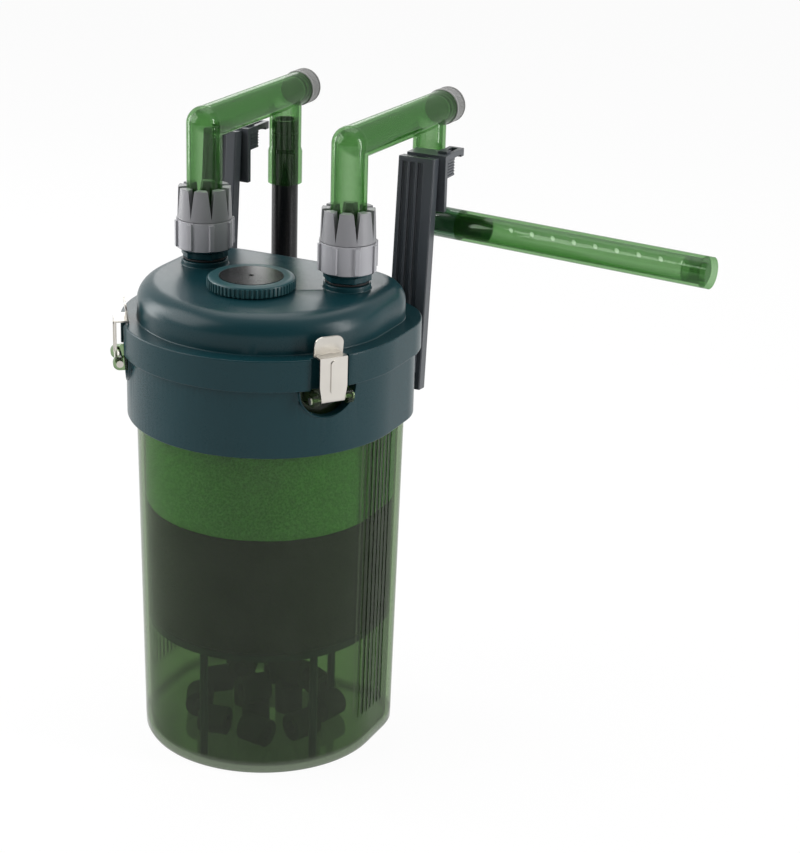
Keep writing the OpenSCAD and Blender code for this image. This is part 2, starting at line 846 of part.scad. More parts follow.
module inlet_union() translate([-port_x, 0, 0]) port_union();
module outlet_union() translate([port_x, 0, 0]) port_union();
module inlet_seal() translate([-port_x, 0, 0]) port_seal();
module outlet_seal() translate([port_x, 0, 0]) port_seal();
module inlet_nut() translate([-port_x, 0, 0]) lock_nut();
module outlet_nut() translate([port_x, 0, 0]) lock_nut();
module inlet_collet() translate([-port_x, 0, 0]) collet();
module outlet_collet() translate([port_x, 0, 0]) collet();

// ---------- pipes ----------

// Places its children at a port, turned with that port's pipe
module at_port(side) {
  translate([side * port_x, port_y, 0])
    rotate([0, 0, side > 0 ? -outlet_turn : 0]) children();
}

// Rising leg, rounded corner, horizontal arm and falling leg, outside or inside
module u_path(r_up, r_arm, r_leg, z_foot, z_leg, y_end) {
  translate([0, 0, z_foot]) cylinder(r = r_up, h = arm_z - z_foot);
  translate([0, 0, arm_z]) sphere(r_up);
  translate([0, 0, arm_z]) cyl_y(r_arm, y_end);
  translate([0, arm_reach, z_leg]) cylinder(r = r_leg, h = arm_z - z_leg);
}

module inlet_pipe() {
  color("forestgreen") at_port(-1) difference() {
    union() {
      u_path(pipe_r, arm_r, leg_r, pipe_foot, socket_z, arm_end);
      translate([0, arm_reach, flare_z - 2]) cylinder(r1 = leg_r + 0.6, r2 = leg_r, h = 2);
      translate([0, arm_reach, socket_z]) cylinder(r = leg_r + 0.6, h = flare_z - 2 - socket_z);
    }
    u_path(pipe_in, arm_in, leg_in, pipe_foot - 1, socket_z - 1, arm_end + 1);
  }
}

module outlet_pipe() {
  color("forestgreen") at_port(1) difference() {
    u_path(pipe_r, arm_r, leg_r, pipe_foot, leg_out_z, arm_end);
    u_path(pipe_in, arm_in, leg_out_in, pipe_foot - 1, leg_out_z - 1, arm_end + 1);
  }
}

// Knurled plug that closes an arm's end for cleaning
module end_cap(side) {
  knurls = 36;
  knurl_w = 1;
  core_r = end_cap_r - 0.5;
  edge = 1;
  spigot = 5.4;
  seat_h = 1.9;
  color("darkgray") at_port(side) translate([0, arm_end, arm_z]) difference() {
    union() {
      translate([0, slip_gap, 0]) cyl_y(core_r, plug_h - slip_gap - edge);
      translate([0, plug_h - edge, 0]) rotate([-90, 0, 0])
        cylinder(r1 = core_r, r2 = core_r - edge, h = edge);
      for (i = [0:knurls - 1]) rotate([0, i * 360 / knurls, 0])
        translate([end_cap_r - 1, 0.6, -knurl_w / 2]) cube([1, plug_h - 1.8, knurl_w]);
      translate([0, -spigot, 0]) cyl_y(arm_in - slip_gap, spigot + 1);
    }
    translate([0, -cap_seal_y - seat_h / 2, 0]) rotate([-90, 0, 0])
      tube(arm_in + 1, arm_in - 1.6, seat_h);
  }
}

module cap_seal(side) {
  seal_r = 0.7;
  color("black") at_port(side) translate([0, arm_end - cap_seal_y, arm_z]) rotate([90, 0, 0])
    ring(arm_in - seal_r - 0.15, seal_r);
}

module inlet_end_cap() end_cap(-1);
module outlet_end_cap() end_cap(1);
module inlet_cap_seal() cap_seal(-1);
module outlet_cap_seal() cap_seal(1);

module at_inlet_leg() at_port(-1) translate([0, arm_reach, 0]) children();
module at_outlet_leg() at_port(1) translate([0, arm_reach, 0]) rotate([0, 0, outlet_turn]) children();

module intake_tube() {
  seat = intake_top - 6.8;
  color("dimgray") at_inlet_leg() difference() {
    translate([0, 0, intake_z]) cylinder(r = intake_r, h = intake_top - intake_z);
    translate([0, 0, intake_z - 1]) cylinder(r = intake_r - 1.6, h = intake_top - intake_z + 2);
    translate([0, 0, seat - 0.9]) tube(intake_r + 1, intake_r - 0.9, 1.8);
  }
}

module intake_seal() {
  color("black") at_inlet_leg() translate([0, 0, intake_top - 6.8]) ring(intake_r - 0.28, 0.6 - 0.28);
}

// Slotted strainer that pushes on to the intake tube
module strainer() {
  overlap = 12;
  r = intake_r + 3;
  rows = 4;
  row_h = 12;
  color("darkslategray") at_inlet_leg() translate([0, 0, intake_z + overlap - strainer_len]) difference() {
    union() {
      cylinder(r = r, h = strainer_len - overlap);
      translate([0, 0, strainer_len - overlap - 2]) cylinder(r = intake_r + 1.8, h = overlap + 2);
    }
    translate([0, 0, 2]) cylinder(r = r - 1.8, h = strainer_len - overlap - 4);
    translate([0, 0, strainer_len - overlap - 3]) cylinder(r = intake_r - 1.6, h = 4);
    translate([0, 0, strainer_len - overlap]) cylinder(r = intake_r + run_gap, h = overlap + 1);
    for (k = [0:rows - 1], a = [0:36:144]) rotate([0, 0, a])
      translate([-r - 1, -1, 4 + k * (row_h + 1.6)]) cube([2 * r + 2, 2, row_h - 1]);
  }
}

// Elbow that turns the flow from the falling leg into the spray bar
module outlet_elbow() {
  socket_top = leg_out_z + 10;
  color("darkgreen") at_outlet_leg() rotate([0, 0, -bar_turn]) difference() {
    union() {
      translate([0, 0, bar_z]) sphere(elbow_r);
      translate([0, 0, bar_z]) cylinder(r = elbow_r, h = socket_top - bar_z);
      translate([0, 0, bar_z]) cyl_x(bar_r, bar_start);
      translate([0, 0, bar_z]) cyl_x(bar_in - run_gap, bar_start + spigot_len);
    }
    translate([0, 0, bar_z]) sphere(bar_in - 1.4);
    translate([0, 0, bar_z]) cylinder(r = bar_in - 1.4, h = 30);
    translate([0, 0, bar_z]) cyl_x(bar_in - 1.4, bar_start + spigot_len + 1);
    translate([0, 0, leg_out_z - 0.2]) cylinder(r = leg_r + run_gap, h = 30);
  }
}

// Places its children on the spray bar's axis, with local X along the bar
module at_bar() {
  at_outlet_leg() rotate([0, 0, -bar_turn]) translate([bar_start + 0.15, 0, bar_z]) children();
}

module spray_bar() {
  first_hole = 24.5;
  color("forestgreen") at_bar() difference() {
    cyl_x(bar_r, bar_len);
    translate([-1, 0, 0]) cyl_x(bar_in, bar_len + 2);
    for (i = [0:hole_n - 1]) translate([first_hole + i * hole_pitch, 0, 0]) cyl_y(hole_r, bar_r + 1);
  }
}

module spray_plug() {
  color("forestgreen") at_bar() translate([bar_len, 0, 0]) difference() {
    union() {
      translate([0.15, 0, 0]) cyl_x(bar_r, 3.4);
      translate([-9.5, 0, 0]) cyl_x(bar_in - run_gap, 10);
    }
    translate([-10.5, 0, 0]) cyl_x(bar_in - 1.6, 12);
  }
}

// ---------- hanger ----------

// Places its children in a rail's own leaning frame: X centred, Y depth, Z along it
module at_rail(side) {
  translate([rail_x - (side < 0 ? rail_span : 0), rail_y, rail_z]) rotate([-lean, 0, 0]) children();
}

// T-shaped slot or key section, seen along the rail
module t_section(gap) {
  translate([-slot_neck / 2 - gap, -eps]) square([slot_neck + 2 * gap, slot_lip + slot_in]);
  translate([-slot_head / 2 - gap, slot_lip - gap]) square([slot_head + 2 * gap, slot_in + gap]);
}

module rail(side) {
  half = rail_w / 2;
  cap = 2.5;
  color("slategray") at_rail(side) difference() {
    translate([-half, 0, 0]) cube([rail_w, rail_d, rail_len]);
    for (x = [-half + 2.2, -half + 6.4, -half + 10.6])
      translate([x, -1, -1]) cube([2.9, groove_front + 1, rail_len + 1 - cap]);
    translate([half, -1, -1]) rotate([0, 0, 30]) translate([-1, 0, 0]) cube([3, 1.2, rail_len + 2]);
    translate([0, rail_d, -1]) mirror([0, 1, 0]) linear_extrude(rail_len + 2) t_section(0);
  }
}

// T-shaped key that rides in a rail's slot
module rail_key(z0, h) {
  translate([0, 0, z0]) linear_extrude(h) translate([0, rail_d]) mirror([0, 1]) difference() {
    translate([0, -rail_back_gap - 0.1]) union() {
      translate([-slot_neck / 2 + key_gap, 0])
        square([slot_neck - 2 * key_gap, slot_lip + slot_in + rail_back_gap - key_gap]);
      translate([-slot_head / 2 + key_gap, slot_lip + rail_back_gap + 0.1 + key_gap])
        square([slot_head - 2 * key_gap, slot_in - 2 * key_gap]);
    }
  }
}

// Bracket that carries a rail from the head's flat back
module bracket(side) {
  web_x = rail_w / 2 + slip_gap;
  web_t = 3.1;
  back_t = 3.2;
  grip_z = 12;
  grip_h = 33;
  lip_t = 2.6;
  lip_y = -lip_t - slip_gap;
  lip_z = 9;
  lip_h = 20;
  pad_x0 = slot_w / 2 + 3.7;
  pad_x1 = (side > 0 ? rail_x : rail_span - rail_x) - rail_w / 2 - 1.2;
  color("slategray") difference() {
    union() {
      on_side(side) translate([pad_x0, flat_y, band_z + 0.6])
        cube([pad_x1 - pad_x0, pad_out, band_h - 1.2]);
      at_rail(side) on_side(side) {
        translate([-web_x - web_t, -slip_gap, grip_z])
          cube([web_t, rail_d + back_t + 2 * slip_gap, grip_h]);
        translate([-web_x - web_t, rail_d + rail_back_gap, grip_z])
          cube([web_x + web_t + 3.4, back_t, grip_h]);
        translate([-web_x - web_t, lip_y, lip_z]) cube([web_x + web_t + 7, lip_t, lip_h]);
        translate([-web_x - web_t, lip_y, lip_z]) cube([web_t, lip_t + 1.4, lip_h]);
        rail_key(grip_z, grip_h);
      }
    }
    bracket_holes(screw_r + 0.25);
  }
}

module on_side(side) {
  mirror([side > 0 ? 0 : 1, 0, 0]) children();
}

module bracket_holes(r) {
  for (s = [-1, 1], x = bracket_screw_x)
    translate([s * x, flat_y - band_wall - 1, bracket_screw_z]) cyl_y(r, 14);
}

module bracket_screws() {
  head_r = 2.6;
  head_h = 1.7;
  color("silver") for (s = [-1, 1], x = bracket_screw_x)
    translate([s * x, flat_y, bracket_screw_z]) {
      translate([0, -band_wall, 0]) cyl_y(screw_r, band_wall + pad_out + 0.5);
      translate([0, pad_out, 0]) cyl_y(head_r, head_h);
    }
}

// Hook that hangs over the tank's rim: tongue, plate with a slot for the jaw, rail key
module hook(side) {
  half = hook_w / 2;
  cut_y = 11;
  lip_d = 3.4;
  lip_h = 1.2;
  lip_x = notch_x + 0.6;
  key_h = 25;
  key_d = 3.4;
  key_z = rail_len - key_h - 1;
  color("slategray") {
    translate([hook_x(side), hook_y, hook_top]) difference() {
      union() {
        translate([-half, 0, -hook_h]) cube([hook_w, hook_t, hook_h]);
        translate([-half, 0, -hook_plate]) cube([hook_w, hook_len, hook_plate]);
        translate([lip_x, hook_len - lip_d, -hook_plate - lip_h])
          cube([half - lip_x, lip_d, hook_plate + lip_h]);
      }
      translate([-half - 1, cut_y, -hook_plate - 5]) cube([half + 1 + notch_x, hook_len, 10]);
      translate([jaw_centre - jaw_slot / 2, hook_t + 1, -hook_plate - 1])
        cube([jaw_slot, hook_len - hook_t - 3.2, 5]);
    }
    intersection() {
      at_rail(side) {
        rail_key(key_z, key_h);
        translate([-slot_neck / 2 + key_gap, rail_d + rail_back_gap, key_z])
          cube([slot_neck - 2 * key_gap, key_d, key_h]);
      }
      translate([hook_x(side) - half, hook_y - 20, hook_top - hook_h])
        cube([hook_w, 20 + hook_t, hook_h]);
    }
  }
}

function hook_x(side) = rail_x - (side < 0 ? rail_span : 0) + hook_shift;

// Serrated jaw that slides under the hook's plate to grip the glass
module jaw(side) {
  under = hook_plate + 0.15;
  stem_y = 1.6;
  stem_w = jaw_slot - 0.4;
  stem_d = 4.8;
  tooth_h = 0.7;
  tooth_d = 0.4;
  color("slategray")
    translate([hook_x(side) + jaw_centre, hook_y + hook_t + slip_gap, hook_top - under]) {
      difference() {
        translate([-jaw_w / 2, 0, -jaw_h]) cube([jaw_w, jaw_d, jaw_h]);
        for (i = [1:5]) translate([0, 0, -i * jaw_h / 6 - tooth_h / 2]) {
          translate([-jaw_w, tooth_d - 1, 0]) cube([2 * jaw_w, 1, tooth_h]);
          translate([jaw_w / 2 - tooth_d, 0.6, 0]) cube([1, jaw_d, tooth_h]);
        }
      }
      translate([-stem_w / 2, stem_y, -1]) cube([stem_w, stem_d, under + 1.25]);
      translate([-stem_w / 2 - 1, stem_y, under + 0.15]) cube([stem_w + 2, stem_d, 1]);
    }
}

module bracket_right() bracket(1);
module bracket_left() bracket(-1);
module rail_right() rail(1);
module rail_left() rail(-1);
module hook_right() hook(1);
module hook_left() hook(-1);
module jaw_right() jaw(1);
module jaw_left() jaw(-1);

canister();
collar();
latch_pins();
clip_right();
clip_left();
clip_rear();
main_seal();
media_tray();
tray_legs();
media_chunks();
coarse_foam();
floss_pad();
standpipe();
head_cover();
filler_neck();
head_plate();
head_screws();
pump_housing();
volute_cover();
impeller_shaft();
shaft_bushes();
rotor_magnet();
impeller();
cord_gland();
filler_cap();
filler_disc();
filler_seal();
inlet_union();
outlet_union();
inlet_seal();
outlet_seal();
inlet_nut();
outlet_nut();
inlet_collet();
outlet_collet();
inlet_pipe();
outlet_pipe();
inlet_end_cap();
outlet_end_cap();
inlet_cap_seal();
outlet_cap_seal();
intake_tube();
intake_seal();
strainer();
outlet_elbow();
spray_bar();
spray_plug();
bracket_right();
bracket_left();
bracket_screws();
rail_right();
rail_left();
hook_right();
hook_left();
jaw_right();
jaw_left();
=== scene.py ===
# %% [markdown]
# # A hang-on canister filter
# This filter hangs on the rim of a small fish tank. A pump in its head moves the water
# through foam, floss and ceramic rings in a clear green tub, and a spray bar gives it back.
# The construction model is loaded first and stays fixed. Everything after it gives the
# pieces their finish, or adds fine shapes that ride on the same moving bodies.

# %% Load the fixed frame
import json
import math

import bpy
import bmesh
from mathutils import Matrix, Vector


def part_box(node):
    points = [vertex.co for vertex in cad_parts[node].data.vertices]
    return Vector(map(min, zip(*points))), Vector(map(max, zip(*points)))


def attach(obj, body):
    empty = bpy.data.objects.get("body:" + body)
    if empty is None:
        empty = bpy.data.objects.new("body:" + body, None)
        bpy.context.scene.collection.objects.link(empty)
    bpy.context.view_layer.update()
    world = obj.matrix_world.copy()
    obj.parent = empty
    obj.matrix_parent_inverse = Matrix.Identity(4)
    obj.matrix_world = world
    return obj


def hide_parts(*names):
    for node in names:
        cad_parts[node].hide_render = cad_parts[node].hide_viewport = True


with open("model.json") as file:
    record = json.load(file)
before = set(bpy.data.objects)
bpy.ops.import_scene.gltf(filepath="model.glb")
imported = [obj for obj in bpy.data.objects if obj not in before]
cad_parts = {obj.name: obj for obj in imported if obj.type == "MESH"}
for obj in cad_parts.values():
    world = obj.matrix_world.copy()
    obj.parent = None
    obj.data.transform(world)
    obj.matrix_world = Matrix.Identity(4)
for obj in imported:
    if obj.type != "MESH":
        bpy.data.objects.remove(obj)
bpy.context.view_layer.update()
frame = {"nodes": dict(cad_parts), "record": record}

MM = 0.001
part = frame["nodes"]

# %% [markdown]
# ## Camera
# A camera can be placed by hand, or aimed by a constraint. Here its axes are worked out from
# an azimuth, an elevation and a small roll, and written straight into its matrix, so that
# the view is exact. A long lens a metre away keeps upright edges nearly parallel.

# %% Place the camera
AZIMUTH, ELEVATION, ROLL = (math.radians(degrees) for degrees in (24.84, 20.88, 1.73))
FOCAL_PX, IMAGE_WIDTH_PX, SENSOR_MM = 2153.9, 800, 36.0
DISTANCE = 1.072
ON_THE_AXIS = Vector((0, 0, 0.12))
AIM_RIGHT, AIM_UP = 0.06584, 0.03948


def in_scene(name, data):
    """An object of that camera, lamp or mesh, linked into the scene."""
    obj = bpy.data.objects.new(name, data)
    bpy.context.scene.collection.objects.link(obj)
    return obj


def camera_axes(azimuth, elevation):
    """Forward, right and up of a level camera that looks down at the object."""
    ca, sa = math.cos(azimuth), math.sin(azimuth)
    ce, se = math.cos(elevation), math.sin(elevation)
    return Vector((-sa * ce, ca * ce, -se)), Vector((ca, sa, 0)), Vector((-sa * se, ca * se, ce))


forward, right, up = camera_axes(AZIMUTH, ELEVATION)
rolled_right = right * math.cos(ROLL) + up * math.sin(ROLL)
rolled_up = up * math.cos(ROLL) - right * math.sin(ROLL)
turn = Matrix((rolled_right, rolled_up, -forward)).transposed().to_4x4()
aim = ON_THE_AXIS + right * AIM_RIGHT + up * AIM_UP
camera = in_scene("camera", bpy.data.cameras.new("camera"))
camera.data.sensor_fit = "HORIZONTAL"
camera.data.sensor_width = SENSOR_MM
camera.data.lens = FOCAL_PX * SENSOR_MM / IMAGE_WIDTH_PX
camera.matrix_world = Matrix.Translation(aim - forward * DISTANCE) @ turn
bpy.context.scene.camera = camera
bpy.context.scene.view_settings.view_transform = "Standard"
print("camera lens:", round(camera.data.lens, 1), "mm")

# %% [markdown]
# ## Writing a finish as sums
# Every surface of the filter gets a finish, and a finish is a tree of nodes. Such a tree
# can be drawn by hand in the shader editor. In a script it reads like a formula once a
# small class wraps a socket and lets Python's own signs add the Math nodes.


# %% A socket that takes part in sums
class Tone:
    """A socket of a tree. Sums on it add Math nodes."""

    def __init__(self, tree, socket):
        self.tree, self.socket = tree, socket

    def __add__(self, other):
        return self.tree.reckon("ADD", self, other)

    def __radd__(self, other):
        return self.tree.reckon("ADD", other, self)

    def __sub__(self, other):
        return self.tree.reckon("SUBTRACT", self, other)

    def __rsub__(self, other):
        return self.tree.reckon("SUBTRACT", other, self)

    def __mul__(self, other):
        return self.tree.reckon("MULTIPLY", self, other)

    def __rmul__(self, other):
        return self.tree.reckon("MULTIPLY", other, self)

    def __truediv__(self, other):
        return self.tree.reckon("DIVIDE", self, other)

    def __rtruediv__(self, other):
        return self.tree.reckon("DIVIDE", other, self)

    def __pow__(self, other):
        return self.tree.reckon("POWER", self, other)

    def __rpow__(self, other):
        return self.tree.reckon("POWER", other, self)


print("sums on sockets ready")

# %% [markdown]
# ## One way to add every node
# Noise, bump, mixes and shaders all come from one method. It takes a node's type, its
# settings, and the values or links of its sockets, so a finish needs no other words. Each
# finish is kept under its name, and a piece made later asks for it by that name.

# %% A finish built from nothing
finishes = {}


class Finish:
    """One material, built from nothing."""

    def __init__(self, name):
        self.name = name
        self.material = bpy.data.materials.new(name)
        self.material.use_nodes = True
        self.tree = self.material.node_tree
        self.tree.nodes.clear()
        self.place = self.add("ShaderNodeTexCoord", {}, {}, "Object")

    def add(self, kind, settings, values, out=0):
        """A new node's output, or a list of outputs where out is a tuple of names."""
        node = self.tree.nodes.new(kind)
        for key, value in settings.items():
            setattr(node, key, value)
        for key, value in values.items():
            if isinstance(value, Tone):
                self.tree.links.new(value.socket, node.inputs[key])
            else:
                node.inputs[key].default_value = value
        if isinstance(out, tuple):
            return [Tone(self, node.outputs[label]) for label in out]
        return Tone(self, node.outputs[out])

    def reckon(self, operation, *values):
        return self.add("ShaderNodeMath", {"operation": operation}, dict(enumerate(values)))

    def noise(self, scale, detail=2.0, roughness=0.5, at=None):
        values = {"Vector": at or self.place, "Scale": scale, "Detail": detail, "Roughness": roughness}
        return self.add("ShaderNodeTexNoise", {}, values, "Fac")

    def blend(self, mask, low, high):
        """A colour between two, by a mask."""
        values = {0: mask, 6: low, 7: high}
        return self.add("ShaderNodeMix", {"data_type": "RGBA"}, values, 2)

    def bump(self, height, strength, distance):
        values = {"Height": height, "Strength": strength, "Distance": distance}
        return self.add("ShaderNodeBump", {}, values, "Normal")

    def mix(self, share, first, second):
        """Two shaders, the second by its share."""
        return self.add("ShaderNodeMixShader", {}, {0: share, 1: first, 2: second})

    def close(self, shader):
        """Gives the tree its end and keeps the finish under its name."""
        self.add("ShaderNodeOutputMaterial", {}, {"Surface": shader}, ())
        finishes[self.name] = self.material


print("node tools ready")

# %% [markdown]
# ## Shades and swings
# On a real surface nothing is quite even, so most finishes need the same two things: a
# colour made a little darker or lighter, and noise that swings a value up and down. Both
# could be nodes of their own. Numbers that are known beforehand are worked out in Python,
# which keeps the tree small.


# %% A shade and a swing
def shade(colour, factor=1.0):
    """A colour with its alpha, made lighter or darker."""
    return tuple(min(1.0, channel * factor) for channel in colour) + (1.0,)


def swing(noise, width):
    """Noise that runs from 0 to 1, as a swing of that width about zero."""
    return (noise - 0.5) * width


print("half of a white:", shade((1, 1, 1), 0.5))

# %% [markdown]
# ## Moulded plastic
# The head, the collar, the nuts and the hanger are moulded. Moulded plastic isn't one even
# colour: the mould's texture breaks up its gloss, and the colour drifts a little. An image
# could carry that, but noise needs no unwrapping and has no seam. Large soft noise carries
# the drift and fine noise the grain. The same recipe with other numbers serves for the
# rubber of the seals, the rotor's magnet and the ceramics.

# %% Moulded plastic
CLOUDS_SCALE, CLOUDS_GLOSS = 22, 0.08
GRAIN_GLOSS, GRAIN_DEPTH = 0.12, 0.12 * MM


def moulded(name, colour, gloss, grain=0.25, scale=2600, drift=0.10, shine=0.5):
    """shine is the strength of the mirror light that the surface gives straight on."""
    paint = Finish(name)
    clouds = paint.noise(CLOUDS_SCALE, 3)
    fine = paint.noise(scale, 3, 0.6)
    values = {
        "Base Color": paint.blend(clouds, shade(colour, 1 - drift), shade(colour, 1 + drift)),
        "Roughness": gloss + swing(fine, GRAIN_GLOSS) + swing(clouds, CLOUDS_GLOSS),
        "Specular IOR Level": shine,
        "Normal": paint.bump(fine, grain, GRAIN_DEPTH),
    }
    paint.close(paint.add("ShaderNodeBsdfPrincipled", {}, values))


moulded("teal_plastic", (0.0045, 0.030, 0.037), 0.29, 0.14, shine=0.22)
# The knob is the same teal plastic as the head. This lighter copy is painted light that lifts its shaded
# ribbed side.
moulded("knob_teal_painted_light", (0.011, 0.052, 0.060), 0.34, 0.14, shine=0.30)
moulded("mid_grey", (0.200, 0.200, 0.212), 0.38, shine=0.45)
moulded("nut_grey", (0.285, 0.285, 0.305), 0.38, shine=0.45)
moulded("light_grey", (0.27, 0.27, 0.265), 0.42, shine=0.40)
moulded("slate_plastic", (0.042, 0.048, 0.056), 0.34, shine=0.50)
moulded("smoke_plastic", (0.007, 0.007, 0.008), 0.26, 0.12, shine=0.25)
moulded("black_plastic", (0.03, 0.03, 0.032), 0.5)
moulded("black_rubber", (0.012, 0.012, 0.013), 0.65, 0.4, 1800, shine=0.2)
moulded("ferrite", (0.04, 0.04, 0.042), 0.45, 0.3)
moulded("white_ceramic", (0.80, 0.80, 0.77), 0.25, 0.1)
moulded("ceramic_media", (0.022, 0.030, 0.018), 0.85, 0.9, 900, 0.35, 0.2)
print("plastics, rubber and ceramics:", ", ".join(sorted(finishes)))

# %% [markdown]
# ## Brushed steel
# The clips, their pins and the screws are stainless steel. A clip is pressed from rolled
# sheet, so its gloss is drawn out in fine lines. The shader's own anisotropy needs a
# tangent on every face. Noise that is stretched along the sheet gives such lines and needs
# none.

# %% Brushed steel
ALONG_THE_SHEET = (1, 1, 0.04)
LINES_SCALE, LINES_GLOSS, LINES_BUMP, LINES_DEPTH = 3500, 0.10, 0.04, 0.04 * MM
PATCHES_SCALE = 90


def brushed(name, colour, gloss):
    paint = Finish(name)
    stretched = {"Vector": paint.place, "Scale": ALONG_THE_SHEET}
    lines = paint.noise(LINES_SCALE, 3.0, at=paint.add("ShaderNodeMapping", {}, stretched))
    patches = paint.noise(PATCHES_SCALE)
    values = {
        "Base Color": paint.blend(patches, shade(colour, 0.9), shade(colour, 1.08)),
        "Metallic": 1.0,
        "Roughness": gloss + lines * LINES_GLOSS,
        "Normal": paint.bump(lines, LINES_BUMP, LINES_DEPTH),
    }
    paint.close(paint.add("ShaderNodeBsdfPrincipled", {}, values))


brushed("stainless", (0.60, 0.575, 0.53), 0.26)
print("steel ready")

# %% [markdown]
# ## Grip grooves and foot of the tub
# Fine upright grooves down each side of the tub give a wet hand its grip, and the foot is
# thicker than the wall. Both are shapes of the construction model, but a clear wall hardly
# shows them. Two masks on Object coordinates therefore paint shade into the grooves, as dark
# lines, and cloud the foot. They are sums on x, y and z, so they need no image and stay in
# place on the tub.

# %% Masks for the grooves and the foot
GROOVE_PITCH, GROOVE_HALF, GROOVES_REACH = 3.8 * MM, 0.55 * MM, 12.8 * MM
GROOVES_FOOT, GROOVES_SIDE = 20 * MM, 50 * MM
PITCHES_AWAY = 50  # whole pitches that keep the measure positive on both sides of y = 0
FOOT_TOP, FOOT_FADE = 7.5 * MM, 3.5 * MM


def tub_masks(paint):
    """One mask is 1 in the grooves down each side of the tub, where shade is painted, the other in its
    thick foot.
    """
    x, y, z = paint.add("ShaderNodeSeparateXYZ", {}, {0: paint.place}, ("X", "Y", "Z"))
    reckon = paint.reckon
    off_centre = reckon("PINGPONG", y + GROOVE_PITCH * PITCHES_AWAY, GROOVE_PITCH / 2)
    painted_groove_shade = reckon("LESS_THAN", off_centre, GROOVE_HALF)
    near = reckon("LESS_THAN", reckon("ABSOLUTE", y), GROOVES_REACH)
    side = reckon("GREATER_THAN", reckon("ABSOLUTE", x), GROOVES_SIDE)
    above = reckon("GREATER_THAN", z, GROOVES_FOOT)
    foot = reckon("MINIMUM", reckon("MAXIMUM", (FOOT_TOP - z) / FOOT_FADE, 0.0), 1.0)
    return painted_groove_shade * near * side * above, foot


print("grooves:", GROOVE_PITCH / MM, "mm apart")

# %% [markdown]
# ## Clear green plastic
# The tub, the pipes, the elbow and the spray bar are tinted plastic. It colours the light
# that goes through it and mirrors a little of the light that meets it. A glass shader would
# bend the view and keep the lamps' light from what is inside. Here a Transparent shader
# carries the tint and a glossy one the plastic's own surface, and Layer Weight gives the
# glossy one more of the view where a face turns away. Where the view runs along a pipe's
# wall, the light crosses more plastic, so a second, deeper tint is mixed in there.

# %% Clear green plastic
RIM_POWER, RIM_SHARE = 5, 0.75
SLOPE_POWER, SLOPE_SHARE = 2, 0.12
DEEP_POWER = 2.4
DRIFT_SCALE, BODY_DRIFT = 60, 0.12
POLISH_SCALE, POLISH_SWING = 700, 0.04
# The first two numbers on the next line paint shade into the tub's grooves, as dark lines. The foot's
# haze stands for its thicker plastic.
PAINTED_GROOVE_SHADE, PAINTED_GROOVE_SHARE, FOOT_HAZE = 0.12, 0.55, 0.42


def clear(name, tint, body, haze, gloss=0.08, cloud=0.0, slant=0.0, masks=None):
    """haze is the share of the plastic's own colour that shows over what is behind it.

    cloud is how much that share drifts over the wall. slant is how fast the tint deepens
    where the view runs along the wall.
    """
    paint = Finish(name)
    drift = paint.noise(DRIFT_SCALE, 3)
    facing = paint.add("ShaderNodeLayerWeight", {}, {"Blend": 0.5}, "Facing")
    film = paint.add("ShaderNodeBsdfTransparent", {}, {"Color": shade(tint)})
    if slant:
        deep_tint = shade([channel ** DEEP_POWER for channel in tint])
        deep = paint.add("ShaderNodeBsdfTransparent", {}, {"Color": deep_tint})
        film = paint.mix(facing * slant, film, deep)
    colour = paint.blend(drift, shade(body, 1 - BODY_DRIFT), shade(body, 1 + BODY_DRIFT))
    share = facing ** RIM_POWER * RIM_SHARE + facing ** SLOPE_POWER * SLOPE_SHARE
    share = share + haze + swing(drift, cloud)
    if masks:
        painted_groove_shade, foot = masks(paint)
        # Painted shade: in the grooves the colour turns dark, and more of it shows.
        colour = paint.blend(painted_groove_shade, colour, shade(body, PAINTED_GROOVE_SHADE))
        share = share + painted_groove_shade * PAINTED_GROOVE_SHARE + foot * FOOT_HAZE
    values = {
        "Base Color": colour,
        "Roughness": gloss + swing(paint.noise(POLISH_SCALE), POLISH_SWING),
        "IOR": 1.8,
        "Specular IOR Level": 1.0,
    }
    solid = paint.add("ShaderNodeBsdfPrincipled", {}, values)
    paint.close(paint.mix(share, film, solid))


clear("clear_green", (0.73, 0.845, 0.70), (0.045, 0.150, 0.032), 0.13, slant=2.3)
clear("dark_green", (0.30, 0.48, 0.34), (0.026, 0.075, 0.035), 0.42)
clear("tub_green", (0.51, 0.62, 0.45), (0.050, 0.072, 0.036), 0.11, 0.10, 0.04, masks=tub_masks)
print("clear plastics ready")

# %% [markdown]
# ## Finish of the foam and the floss
# The black block is open-cell sponge and the pad above it is matted fibre. Modelling every
# cell would take millions of faces. A Voronoi texture gives round cells instead, and finer
# noise on top of it roughens their walls. Both work as a bump and as a change of colour.

# %% Foam finishes
FIBRE_SCALE, FIBRE_SHARE = 2.2, 0.5
FOAM_GLOSS, FOAM_GLOSS_SWING, FOAM_BUMP = 0.86, 0.1, 0.9


def spongy(name, colour, scale, depth, contrast):
    paint = Finish(name)
    cells = paint.add("ShaderNodeTexVoronoi", {}, {"Vector": paint.place, "Scale": scale}, "Distance")
    height = cells + paint.noise(scale * FIBRE_SCALE, 3) * FIBRE_SHARE
    values = {
        "Base Color": paint.blend(height, shade(colour, 1 - contrast), shade(colour, 1 + contrast)),
        "Roughness": FOAM_GLOSS + swing(cells, FOAM_GLOSS_SWING),
        "Normal": paint.bump(height, FOAM_BUMP, depth),
    }
    paint.close(paint.add("ShaderNodeBsdfPrincipled", {}, values))


spongy("coarse_sponge", (0.010, 0.010, 0.010), 520, 0.6 * MM, 0.5)
spongy("fine_floss", (0.33, 0.66, 0.28), 900, 0.5 * MM, 0.40)
print("finishes:", len(finishes))

# %% [markdown]
# ## Giving every node its finish
# The construction model comes without looks, but its record names a slot for each node, and
# a slot has the name of a finish. One loop is enough, and a new node would be dressed by it
# too. The tub is its own case, as its wall is thinner and greyer than the pipes'.

